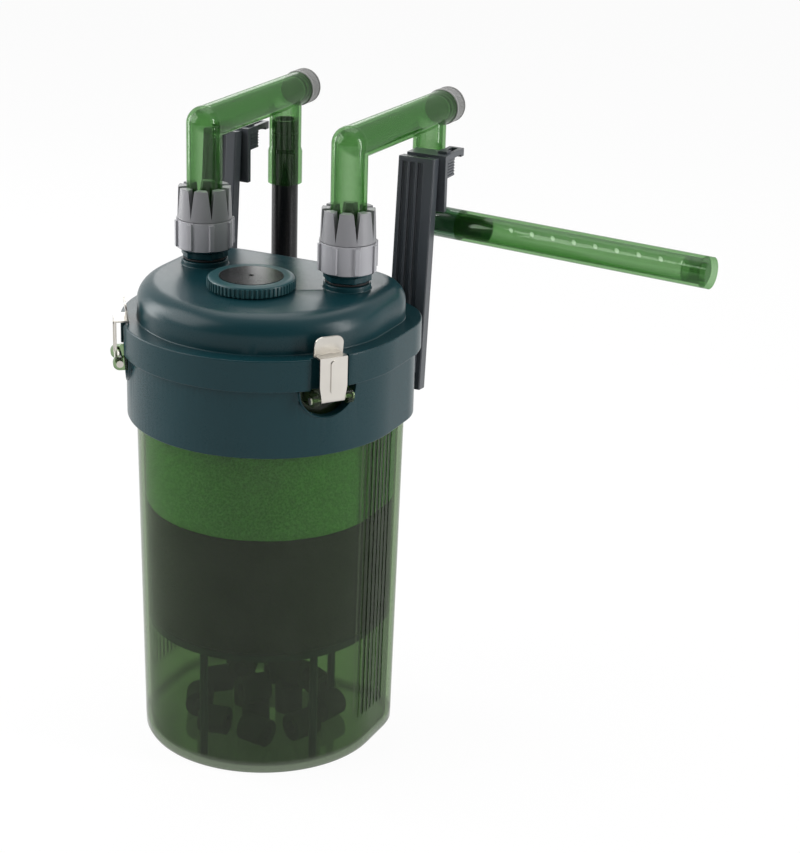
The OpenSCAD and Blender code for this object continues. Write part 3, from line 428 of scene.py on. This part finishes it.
# %% Dress the nodes
slot_of = {entry["node"]: entry["material_slot"] for entry in frame["record"]["subparts"]}
for name, obj in part.items():
    finish = "tub_green" if name == "canister" else slot_of[name]
    obj.data.materials.clear()
    obj.data.materials.append(finishes[finish])
print("dressed", len(part), "nodes")

# %% [markdown]
# ## From a mesh to a piece
# Some nodes get a finer shape than the construction model gives them. Each such piece ends
# in the same way: its mesh becomes an object with a finish, the object rides on one moving
# body, and it may stand for a node. Helpers do that, so a piece's own cell holds its shape.


# %% Helpers for every piece
def made(name, mesh, finish):
    """An object of that mesh, smooth and in that finish."""
    data = bpy.data.meshes.new(name)
    mesh.to_mesh(data)
    mesh.free()
    data.materials.append(finishes[finish])
    for face in data.polygons:
        face.use_smooth = True
    return in_scene(name, data)


def finish_piece(obj, node, body):
    """The piece rides on its body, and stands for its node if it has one."""
    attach(obj, body)
    if node:
        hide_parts(node)
    return obj


print("piece helpers ready")

# %% [markdown]
# ## Plan of the soft blocks
# Foam and floss are cut to fit the tub, so their plan is the tub's own D: a half round in
# front, short straight sides, and a flat back with two round corners. A curve object could
# draw it. A list of arcs and lines gives the same points at every level of a block, and
# then levels of different sizes join up without any matching.

# %% Plan of the tub
TUB_RADIUS, TUB_BACK, TUB_CORNER = 70 * MM, 55 * MM, 36 * MM
CORNER_X, CORNER_Y = TUB_RADIUS - TUB_CORNER, TUB_BACK - TUB_CORNER
CORNER_STEPS, SIDE_STEPS, BACK_STEPS = 24, 4, 12


def arc(x, y, radius, start, quarters):
    """Points of an arc without its last one. start counts quarter turns too."""
    steps = CORNER_STEPS * quarters
    angles = [math.pi / 2 * (start + quarters * i / steps) for i in range(steps)]
    return [(x + radius * math.cos(angle), y + radius * math.sin(angle)) for angle in angles]


def line(x0, y0, x1, y1, steps):
    """Points of a straight stretch without its last one."""
    return [(x0 + (x1 - x0) * i / steps, y0 + (y1 - y0) * i / steps) for i in range(steps)]


def tub_plan(inset):
    """The tub's D-shaped plan, drawn in by inset."""
    radius, corner, back = TUB_RADIUS - inset, TUB_CORNER - inset, TUB_BACK - inset
    ring = arc(0, 0, radius, 2, 2)
    ring += line(radius, 0, radius, CORNER_Y, SIDE_STEPS)
    ring += arc(CORNER_X, CORNER_Y, corner, 0, 1)
    ring += line(CORNER_X, back, -CORNER_X, back, BACK_STEPS)
    ring += arc(-CORNER_X, CORNER_Y, corner, 1, 1)
    ring += line(-radius, CORNER_Y, -radius, 0, SIDE_STEPS)
    return ring


print("plan points:", len(tub_plan(0)))

# %% [markdown]
# ## Levels and hole of a block
# A block's cut edges are rounded, and a round hole under the inlet lets the standpipe
# through. A cube with a Boolean would keep hard edges. Here the block is a stack of rings:
# each level has a height and a distance by which its plan is drawn in, which is more than
# nothing only near both ends. The hole gets one point for each point of the plan, so that
# the two join up with plain faces.

# %% Levels and hole of a block
PORT_X, PORT_Y = 38.95 * MM, 8.1 * MM
CROWN_CURVE = ((0.0, 1.0), (0.3, 0.3), (1.0, 0.0))
SIDE_LEVELS = 22


def block_levels(low, high, crown):
    """The height of each ring, with how far its plan is drawn in."""
    edge = [(rise * crown, draw * crown) for rise, draw in CROWN_CURVE]
    straight = high - low - 2 * crown
    levels = [(low + rise, draw) for rise, draw in edge]
    levels += [(low + crown + straight * i / SIDE_LEVELS, 0.0) for i in range(1, SIDE_LEVELS)]
    levels += [(high - rise, draw) for rise, draw in reversed(edge)]
    return levels


def hole_ring(plan, radius):
    """The standpipe's hole, with one point towards each point of the plan."""
    angles = [math.atan2(y - PORT_Y, x + PORT_X) for x, y in plan]
    return [(-PORT_X + radius * math.cos(a), PORT_Y + radius * math.sin(a)) for a in angles]


print("levels of a block:", len(block_levels(0, 50 * MM, MM)))

# %% [markdown]
# ## Sponge and floss blocks
# The sponge catches the coarse dirt and the floss the fine. Their levels are joined into
# one closed skin, inside and outside. A Displace modifier then makes it uneven, as soft
# foam is. Its middle level is 1, so it only moves points into the block, which stays
# inside the tub.

# %% Sponge and floss blocks
LUMP_SIZE = 12 * MM


def soft_block(name, node, finish, inset, crown, hole, lumps):
    """A block of soft media with crowned edges, and a round hole for the pipe."""
    low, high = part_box(node)
    mesh = bmesh.new()
    outer, inner = [], []
    for z, draw in block_levels(low.z, high.z, crown):
        plan = tub_plan(inset + draw)
        outer.append([mesh.verts.new((x, y, z)) for x, y in plan])
        inner.append([mesh.verts.new((x, y, z)) for x, y in hole_ring(plan, hole)])
    total = len(outer[0])
    for i in range(total):
        j = (i + 1) % total
        for k in range(len(outer) - 1):
            mesh.faces.new((outer[k][i], outer[k][j], outer[k + 1][j], outer[k + 1][i]))
            mesh.faces.new((inner[k][j], inner[k][i], inner[k + 1][i], inner[k + 1][j]))
        mesh.faces.new((inner[0][i], inner[0][j], outer[0][j], outer[0][i]))
        mesh.faces.new((outer[-1][i], outer[-1][j], inner[-1][j], inner[-1][i]))
    bmesh.ops.recalc_face_normals(mesh, faces=mesh.faces)
    obj = made(name, mesh, finish)
    uneven = obj.modifiers.new("lumps", "DISPLACE")
    uneven.texture = bpy.data.textures.new(name + "_lumps", "CLOUDS")
    uneven.texture.noise_scale = LUMP_SIZE
    uneven.texture_coords = "LOCAL"
    uneven.strength, uneven.mid_level = lumps, 1.0
    finish_piece(obj, node, "vessel")
    print(name, len(obj.data.polygons), "faces")


soft_block("sponge_block", "coarse_foam", "coarse_sponge", 11.7 * MM, 1.4 * MM, 9.6 * MM, 0.5 * MM)
soft_block("floss_block", "floss_pad", "fine_floss", 10.9 * MM, 2.2 * MM, 7.3 * MM, 0.7 * MM)

# %% [markdown]
# ## A clean copy of a node
# The construction model's meshes are loose triangles. Their edges belong to one face each,
# and no modifier can round or cut such a mesh well. So a piece that keeps a node's shape
# starts from a merged copy: equal corners are joined, slivers go, and triangles in one
# plane become one face. Faces are then shaded smooth, apart from edges that are marked
# sharp by the angle between their faces.

# %% A clean copy of a node
SAME_POINT, SLIVER, SAME_PLANE = 0.01 * MM, 0.02 * MM, math.radians(0.6)


def merged(node):
    """A copy of a construction node's mesh, with its corners joined."""
    mesh = bmesh.new()
    mesh.from_mesh(part[node].data)
    bmesh.ops.remove_doubles(mesh, verts=mesh.verts, dist=SAME_POINT)
    bmesh.ops.dissolve_degenerate(mesh, dist=SLIVER, edges=mesh.edges)
    bmesh.ops.dissolve_limit(mesh, angle_limit=SAME_PLANE, verts=mesh.verts, edges=mesh.edges)
    return mesh


def crisp(obj, degrees):
    """Keeps an edge sharp where its faces meet at more than that angle."""
    obj.data.set_sharp_from_angle(angle=math.radians(degrees))
    return obj


print("cleaning tools ready")

# %% [markdown]
# ## Rounded edges
# A mould leaves no sharp edge, and a rounded one catches a line of light that makes a piece
# look solid. A Bevel node in the finish would only bend the light. A Bevel modifier changes
# the shape itself, and here it rounds only the edges whose faces meet at a wide angle. It
# is used where an edge is near enough to be seen: on the head, the collar, the ports, the
# nuts, and the rails and hooks of the hanger.

# %% Rounded edges
SHARP_DEGREES = 30


def soften(node, body, finish, width):
    """Stands for a construction node, with its sharp edges rounded."""
    obj = crisp(made(node + "_moulded", merged(node), finish), SHARP_DEGREES)
    edge = obj.modifiers.new("moulded_edge", "BEVEL")
    edge.width, edge.segments = width, 2
    edge.limit_method, edge.angle_limit = "ANGLE", math.radians(SHARP_DEGREES)
    edge.use_clamp_overlap = False
    edge.harden_normals = True
    finish_piece(obj, node, body)
    print(obj.name, "edges", round(width / MM, 2), "mm")


soften("head_cover", "head", "teal_plastic", 0.55 * MM)
soften("collar", "vessel", "teal_plastic", 0.55 * MM)
for side in ("inlet", "outlet"):
    soften(side + "_union", "head", "teal_plastic", 0.55 * MM)
for side in ("inlet", "outlet"):
    soften(side + "_nut", side + "_nut_body", "nut_grey", 0.3 * MM)
for side in ("right", "left"):
    for kind in ("rail_", "hook_"):
        node = kind + side
        soften(node, node + "_body", "slate_plastic", 0.25 * MM)

# %% [markdown]
# ## Gaps between the collets' teeth
# A collet is the sleeve above a nut that grips the pipe with eight teeth. The gaps between
# them open upwards, and they are wider than the construction model cuts them. The sleeve
# could be drawn anew, but widening its gaps keeps the rest of its shape. What has to go is
# a wedge at each gap, which stands round the pipe. It is written in millimetres.

# %% Wedges for the gaps
TEETH = 8
GAP_FOOT, GAP_TOP, GAP_HALF = 260.4, 275.4, 1.75
GAP_IN, GAP_OUT = 7.8, 14.5
JOINED = 0.001 * MM


def new_piece(name, mesh, finish, place=Matrix.Identity(4)):
    """An object at the origin, with its place in its mesh and its faces outwards."""
    bmesh.ops.remove_doubles(mesh, verts=mesh.verts, dist=JOINED)
    bmesh.ops.recalc_face_normals(mesh, faces=mesh.faces)
    obj = made(name, mesh, finish)
    obj.data.transform(place)
    return obj


def tooth_gaps(name, x, y):
    """One wedge for each gap between two teeth."""
    mesh = bmesh.new()
    wedge = ((0, GAP_FOOT), (GAP_HALF, GAP_TOP), (-GAP_HALF, GAP_TOP))
    for k in range(TEETH):
        place = Matrix.Translation((x, y, 0)) @ Matrix.Rotation(2 * math.pi * k / TEETH, 4, "Z")
        ends = []
        for out in (GAP_IN, GAP_OUT):
            ends.append([mesh.verts.new(place @ (Vector((out, *corner)) * MM)) for corner in wedge])
            mesh.faces.new(ends[-1])
        for n in range(len(wedge)):
            mesh.faces.new((ends[0][n], ends[0][n - 1], ends[1][n - 1], ends[1][n]))
    return new_piece(name, mesh, "mid_grey")


print("gaps:", TEETH, "round each pipe,", 2 * GAP_HALF, "mm wide at the top")

# %% [markdown]
# ## Teeth of the collets
# A Boolean modifier takes the wedges out of a clean copy of the sleeve. It could stay live,
# but then the wedges would have to stay in the scene too. So its result is kept as a plain
# mesh, and the modifier and the wedges are thrown away.

# %% Collet teeth
SIGN = {"inlet": -1, "outlet": 1}
SMOOTH_DEGREES = 32


def evaluated_mesh(obj):
    """The mesh that the object's modifiers give, as a plain mesh."""
    bpy.context.view_layer.update()
    return bpy.data.meshes.new_from_object(obj.evaluated_get(bpy.context.evaluated_depsgraph_get()))


for side, sign in SIGN.items():
    teeth = new_piece(side + "_teeth", merged(side + "_collet"), "mid_grey")
    gaps = tooth_gaps(side + "_gaps", sign * PORT_X, PORT_Y)
    cut = teeth.modifiers.new("gaps", "BOOLEAN")
    cut.object, cut.operation, cut.solver = gaps, "DIFFERENCE", "EXACT"
    whole = evaluated_mesh(teeth)
    teeth.modifiers.clear()
    teeth.data = whole
    bpy.data.objects.remove(gaps)
    finish_piece(crisp(teeth, SMOOTH_DEGREES), side + "_collet", side + "_collet_body")
    print(teeth.name, len(teeth.data.polygons), "faces")

# %% [markdown]
# ## Tools for ribs and knurls
# The knob has ribs round its edge, and the plugs have a knurled grip. Both repeat by a rule,
# so a Geometry Nodes tree makes them, and its inputs carry their sizes. The class for a
# finish serves here too, because a Geometry Nodes tree takes the same sums. Every tree ends
# with Realize Instances, which turns copies into faces, and with Set Material.


# %% Tools for a Geometry Nodes tree
class Growth(Finish):
    """The same tools on a Geometry Nodes tree, whose inputs have the names of sizes."""

    def __init__(self, name, sizes):
        self.tree = bpy.data.node_groups.new(name, "GeometryNodeTree")
        face = self.tree.interface
        face.new_socket("Geometry", in_out="OUTPUT", socket_type="NodeSocketGeometry")
        for label, kind in sizes.items():
            face.new_socket(label, in_out="INPUT", socket_type="NodeSocket" + kind)
        self.size = dict(zip(sizes, self.add("NodeGroupInput", {}, {}, tuple(sizes))))

    def close(self, shape, finish):
        """Ends the tree with plain geometry in that finish, and gives the tree back."""
        real = self.add("GeometryNodeRealizeInstances", {}, {"Geometry": shape})
        values = {"Geometry": real, "Material": finishes[finish]}
        coated = self.add("GeometryNodeSetMaterial", {}, values)
        self.add("NodeGroupOutput", {}, {"Geometry": coated}, ())
        return self.tree


print("tree tools ready")

# %% [markdown]
# ## Keeping what has grown
# A tree of Geometry Nodes is only a recipe. A Nodes modifier runs it on an object, and each
# size is set by its input's identifier, because the names are there for people. The
# modifier could stay live, but only a plain mesh goes out with the model. Here its result
# is copied to a new mesh, and the empty object that carried the modifier is removed.


# %% Run a tree and keep the mesh
def grown(name, tree, sizes, finish, place):
    """Runs the tree with those sizes and keeps the result as a plain mesh."""
    seed = in_scene(name + "_seed", bpy.data.meshes.new(name + "_seed"))
    run = seed.modifiers.new("tree", "NODES")
    run.node_group = tree
    for item in tree.interface.items_tree:
        if item.in_out == "INPUT":
            run[item.identifier] = sizes[item.name]
    data = evaluated_mesh(seed)
    bpy.data.objects.remove(seed)
    data.name = name
    data.transform(place)
    data.materials.clear()
    data.materials.append(finishes[finish])
    print(name, len(data.polygons), "faces")
    return in_scene(name, data)


print("growth tools ready")

# %% [markdown]
# ## Ribs on a ring
# The knob's ribs are slim upright rods that stand half out of its edge. They could be
# copied with an Array modifier that turns about an empty. Instances on the points of a mesh
# circle need no empty, and the count and sizes stay inputs of the tree. A rod has eight
# sides, so it is turned outwards and every rod meets the knob in the same way.


# %% A tree that sets round ribs on a ring
def ribbing(name, finish):
    growth = Growth(name, {"Count": "Int", "Radius": "Float", "Width": "Float", "Length": "Float"})
    size = growth.size
    ring = {"Vertices": size["Count"], "Radius": size["Radius"]}
    rod = {"Vertices": 8, "Radius": size["Width"], "Depth": size["Length"]}
    outwards = growth.add("GeometryNodeInputPosition", {}, {})
    values = {
        "Points": growth.add("GeometryNodeMeshCircle", {}, ring),
        "Instance": growth.add("GeometryNodeMeshCylinder", {}, rod),
        "Rotation": growth.add("FunctionNodeAlignRotationToVector", {"axis": "X"}, {"Vector": outwards}),
    }
    return growth.close(growth.add("GeometryNodeInstanceOnPoints", {}, values), finish)


ribs_tree = ribbing("knob_ribs_tree", "knob_teal_painted_light")
print("nodes in the ribs' tree:", len(ribs_tree.nodes))

# %% [markdown]
# ## Knurls on a drum
# A knurled grip is a field of small pyramids that wet fingers don't slip on. Hundreds of
# separate pyramids would leave seams between them. Instead the tree starts from one closed
# drum whose side is a grid, and pushes every other crossing outwards. Row and column come
# from a point's index, and their sum is odd at a peak, so peaks in neighbouring rows are
# staggered. The rows at both ends stay where they are.


# %% A tree that knurls a drum
def knurling(name, finish):
    """A closed drum whose side rises to a peak at every other crossing of its grid."""
    sizes = {"Count": "Int", "Rows": "Int", "Radius": "Float", "Height": "Float", "Depth": "Float"}
    growth = Growth(name, sizes)
    size, reckon = growth.size, growth.reckon
    values = {
        "Vertices": size["Count"],
        "Side Segments": size["Rows"],
        "Radius": size["Radius"],
        "Depth": size["Height"],
    }
    drum = growth.add("GeometryNodeMeshCylinder", {}, values)
    index = growth.add("GeometryNodeInputIndex", {}, {})
    row = reckon("FLOOR", index / size["Count"])
    column = reckon("MODULO", index, size["Count"])
    peak = reckon("MODULO", row + column, 2.0)
    within = reckon("GREATER_THAN", row, 0.5) * reckon("LESS_THAN", row, size["Rows"] - 0.5)
    share = peak * within * size["Depth"] / size["Radius"]
    place = growth.add("GeometryNodeInputPosition", {}, {})
    flat = growth.add("ShaderNodeVectorMath", {"operation": "MULTIPLY"}, {0: place, 1: (1, 1, 0)})
    push = growth.add("ShaderNodeVectorMath", {"operation": "SCALE"}, {0: flat, "Scale": share})
    raised = growth.add("GeometryNodeSetPosition", {}, {"Geometry": drum, "Offset": push})
    return growth.close(growth.add("GeometryNodeTriangulate", {}, {"Mesh": raised}), finish)


knurl_tree = knurling("plug_knurls_tree", "light_grey")
print("nodes in the knurls' tree:", len(knurl_tree.nodes))

# %% [markdown]
# ## Turned shapes
# The filler knob and the two end plugs are round, so each is one outline turned about an
# axis. A Screw modifier could turn it. A short function does it too, and it closes the
# poles with triangles where the outline meets the axis. The outline is written as radius
# and height, in millimetres.


# %% Turning an outline
def turned(outline_mm, steps):
    """A closed shape turned about Z from its outline."""
    mesh = bmesh.new()
    rings = []
    for radius, height in outline_mm:
        ring = []
        for k in range(steps if radius > 0 else 1):
            angle = 2 * math.pi * k / steps
            spot = Vector((radius * math.cos(angle), radius * math.sin(angle), height))
            ring.append(mesh.verts.new(spot * MM))
        rings.append(ring)
    for low, high in zip(rings, rings[1:] + rings[:1]):
        for k in range(steps):
            n = (k + 1) % steps
            corners = [low[k % len(low)], low[n % len(low)], high[n % len(high)], high[k % len(high)]]
            corners = list(dict.fromkeys(corners))
            if len(corners) > 2:
                mesh.faces.new(corners)
    return mesh


print("turning ready")

# %% [markdown]
# ## The filler knob
# The knob screws into the neck of the head, where the filter is topped up before a start.
# Its edge is rounded and finely ribbed, and a dark spun disc lies in its top. The body is
# turned, and the ribs are grown round it.

# %% Filler knob
KNOB_AT = Matrix.Translation((0, -15.2 * MM, 0))
RIBS_MIDDLE = 238.55 * MM
RIB_DEGREES = 50
knob_outline = [
    (12.0, 225.2), (14.1, 225.2), (14.1, 236.2), (16.0, 236.2), (16.0, 238.2), (19.0, 238.2),
    (19.0, 236.2), (20.2, 236.2), (20.6, 236.6), (20.6, 240.2), (20.45, 240.8), (20.0, 241.25),
    (19.3, 241.5), (18.2, 241.6), (15.6, 241.45), (15.25, 241.2), (15.2, 240.4), (0, 240.4),
    (0, 238.2), (12.0, 238.2),
]
# Body and ribs take the lighter copy of the teal, which is painted light on the knob.
knob = crisp(new_piece("knob_body", turned(knob_outline, 96), "knob_teal_painted_light", KNOB_AT), SMOOTH_DEGREES)
finish_piece(knob, "filler_cap", "filler_knob")
print(knob.name, len(knob.data.polygons), "faces")
rib_sizes = {"Count": 60, "Radius": 20.60 * MM, "Width": 0.60 * MM, "Length": 4.1 * MM}
ribs_at = KNOB_AT @ Matrix.Translation((0, 0, RIBS_MIDDLE))
ribs = grown("knob_ribs", ribs_tree, rib_sizes, "knob_teal_painted_light", ribs_at)
for face in ribs.data.polygons:
    face.use_smooth = True
finish_piece(crisp(ribs, RIB_DEGREES), None, "filler_knob")

# %% [markdown]
# ## The end plugs
# Each arm is closed by a grey plug with a knurled grip, so that a brush can be put through.
# The plug is turned about Z, where its outline is easy to write, and then laid along its
# arm by one matrix. The outlet pipe stands slightly turned, and its plug turns with it.

# %% End plugs
ARM_END, ARM_Z = 94.6 * MM, 305.0 * MM
ARM_TURN = {"inlet": 0.0, "outlet": math.radians(-2.27)}
GRIP_MIDDLE = 4.6 * MM
plug_outline = [
    (0, -5.4), (6.6, -5.4), (6.6, -3.6), (5.3, -3.6), (5.3, -1.7), (6.6, -1.7), (6.6, 0.3),
    (8.8, 0.3), (9.1, 0.6), (9.1, 1.2), (8.2, 1.4), (8.2, 8.0), (9.0, 8.2), (9.0, 8.6),
    (8.7, 9.0), (8.0, 9.4), (0, 9.4),
]
knurl_sizes = {"Count": 72, "Rows": 9, "Radius": 8.35 * MM, "Height": 6.8 * MM, "Depth": 0.75 * MM}
for side, sign in SIGN.items():
    pipe_at = Matrix.Translation((sign * PORT_X, PORT_Y, ARM_Z))
    along_arm = Matrix.Translation((0, ARM_END, 0)) @ Matrix.Rotation(-math.pi / 2, 4, "X")
    stand = pipe_at @ Matrix.Rotation(ARM_TURN[side], 4, "Z") @ along_arm
    plug = new_piece(side + "_plug_body", turned(plug_outline, 72), "light_grey", stand)
    finish_piece(crisp(plug, SMOOTH_DEGREES), side + "_end_cap", side + "_cap_body")
    grip_at = stand @ Matrix.Translation((0, 0, GRIP_MIDDLE))
    knurls = grown(side + "_plug_knurls", knurl_tree, knurl_sizes, "light_grey", grip_at)
    finish_piece(knurls, None, side + "_cap_body")
print("end plugs ready")

# %% [markdown]
# ## Floor
# The floor belongs to the studio, not to the filter. It takes the shadow, and where the
# camera meets it, it is close to white. A floor lit to white would also throw light up at
# the filter. Light Path tells the rays apart instead: what the camera sees, straight or
# in a mirror, is mostly a plain white glow, and every other ray meets plain grey.

# %% Floor
FLOOR_HALF, FLOOR_DROP = 6.0, 0.2 * MM
WHITE, FLOOR_GREY = (1, 1, 1, 1), (0.86, 0.86, 0.86, 1)
WHITE_SHARE = 0.94
SEEN_RAYS = ("Is Camera Ray", "Is Glossy Ray", "Is Transmission Ray")

paint = Finish("floor")
straight, mirrored, through = paint.add("ShaderNodeLightPath", {}, {}, SEEN_RAYS)
seen = paint.reckon("MINIMUM", straight + mirrored + through, 1.0)
plain = paint.add("ShaderNodeBsdfDiffuse", {}, {"Color": FLOOR_GREY})
white = paint.add("ShaderNodeEmission", {}, {"Color": WHITE, "Strength": 1.0})
paint.close(paint.mix(seen * WHITE_SHARE, plain, white))
mesh = bmesh.new()
bmesh.ops.create_grid(mesh, x_segments=2, y_segments=2, size=FLOOR_HALF)
floor = made("floor", mesh, "floor")
floor.data.transform(Matrix.Translation((0, 0, -FLOOR_DROP)))
print("floor ready")

# %% [markdown]
# ## The studio round the object
# A studio is bright behind and beside the object and dark where the camera stands. Mirror
# rays that leave towards the dark side find little light, and that gives plastic and steel
# their contrast. An image of a studio would do this, and so does one sum: the direction's
# dot product with the dark side's. The camera sees plain white in every direction, and
# other rays meet an even grey. The dark side is fixed, so it stays put in any view.

# %% World
AMBIENT, DARK_LEVEL = 0.40, 0.12
DARK_SIDE = (0.30, -0.90, 0.10)
DARK_FROM, DARK_FULL = 0.15, 0.75


class Studio(Finish):
    """The same tools on the world's tree, where a direction takes the place of a point."""

    def __init__(self, world):
        world.use_nodes = True
        self.tree = world.node_tree
        self.tree.nodes.clear()
        self.direction = self.add("ShaderNodeTexCoord", {}, {}, "Generated")


world = bpy.data.worlds.new("studio")
bpy.context.scene.world = world
studio = Studio(world)
values = {0: studio.direction, 1: DARK_SIDE}
towards = studio.add("ShaderNodeVectorMath", {"operation": "DOT_PRODUCT"}, values, "Value")
values = {
    "Value": towards,
    "From Min": DARK_FROM,
    "From Max": DARK_FULL,
    "To Min": 1.0,
    "To Max": DARK_LEVEL,
}
wall = studio.add("ShaderNodeMapRange", {"interpolation_type": "SMOOTHSTEP"}, values)
straight, mirrored, through = studio.add("ShaderNodeLightPath", {}, {}, SEEN_RAYS)
seen = studio.reckon("MAXIMUM", straight, through)
level = seen + mirrored * wall + (1 - seen - mirrored) * AMBIENT
sky = studio.add("ShaderNodeBackground", {}, {"Color": WHITE, "Strength": level})
studio.add("ShaderNodeOutputWorld", {}, {"Surface": sky}, ())
print("world ready")

# %% [markdown]
# ## Soft lamps
# Large area lamps give soft edges to the light, as softboxes do. The key lamp models the
# round front, two upright strips draw a bright line down each side, and one from above
# lifts the tops. The small lamp behind stands where the dome's flat top mirrors it to the
# camera, and so shows that the dome is glossy.


# %% Soft lamps
def softbox(name, place, size, watts, aim=(0, 0, 0.17)):
    """A rectangular lamp at that place, turned towards its aim."""
    lamp = in_scene(name, bpy.data.lights.new(name, "AREA"))
    lamp.data.shape, lamp.data.energy = "RECTANGLE", watts
    lamp.data.size, lamp.data.size_y = size
    lamp.location = place
    lamp.rotation_euler = (Vector(aim) - Vector(place)).to_track_quat("-Z", "Y").to_euler()
    return lamp


lamps = [
    softbox("key", (-1.2, -0.7, 1.0), (1.5, 1.2), 22),
    softbox("left_strip", (-1.15, -0.05, 0.30), (0.34, 1.0), 8),
    softbox("right_strip", (1.1, 0.15, 0.45), (0.22, 0.9), 9),
    softbox("back_top", (-0.60, 1.00, 0.60), (0.40, 0.24), 0.75, (0, 0, 0.236)),
    softbox("top", (-0.1, 0.5, 1.4), (1.2, 1.0), 8),
]
print("lamps:", len(lamps))

# %% [markdown]
# ## The end
# The last line says that the scene is done.

# %% The end
print("scene done")
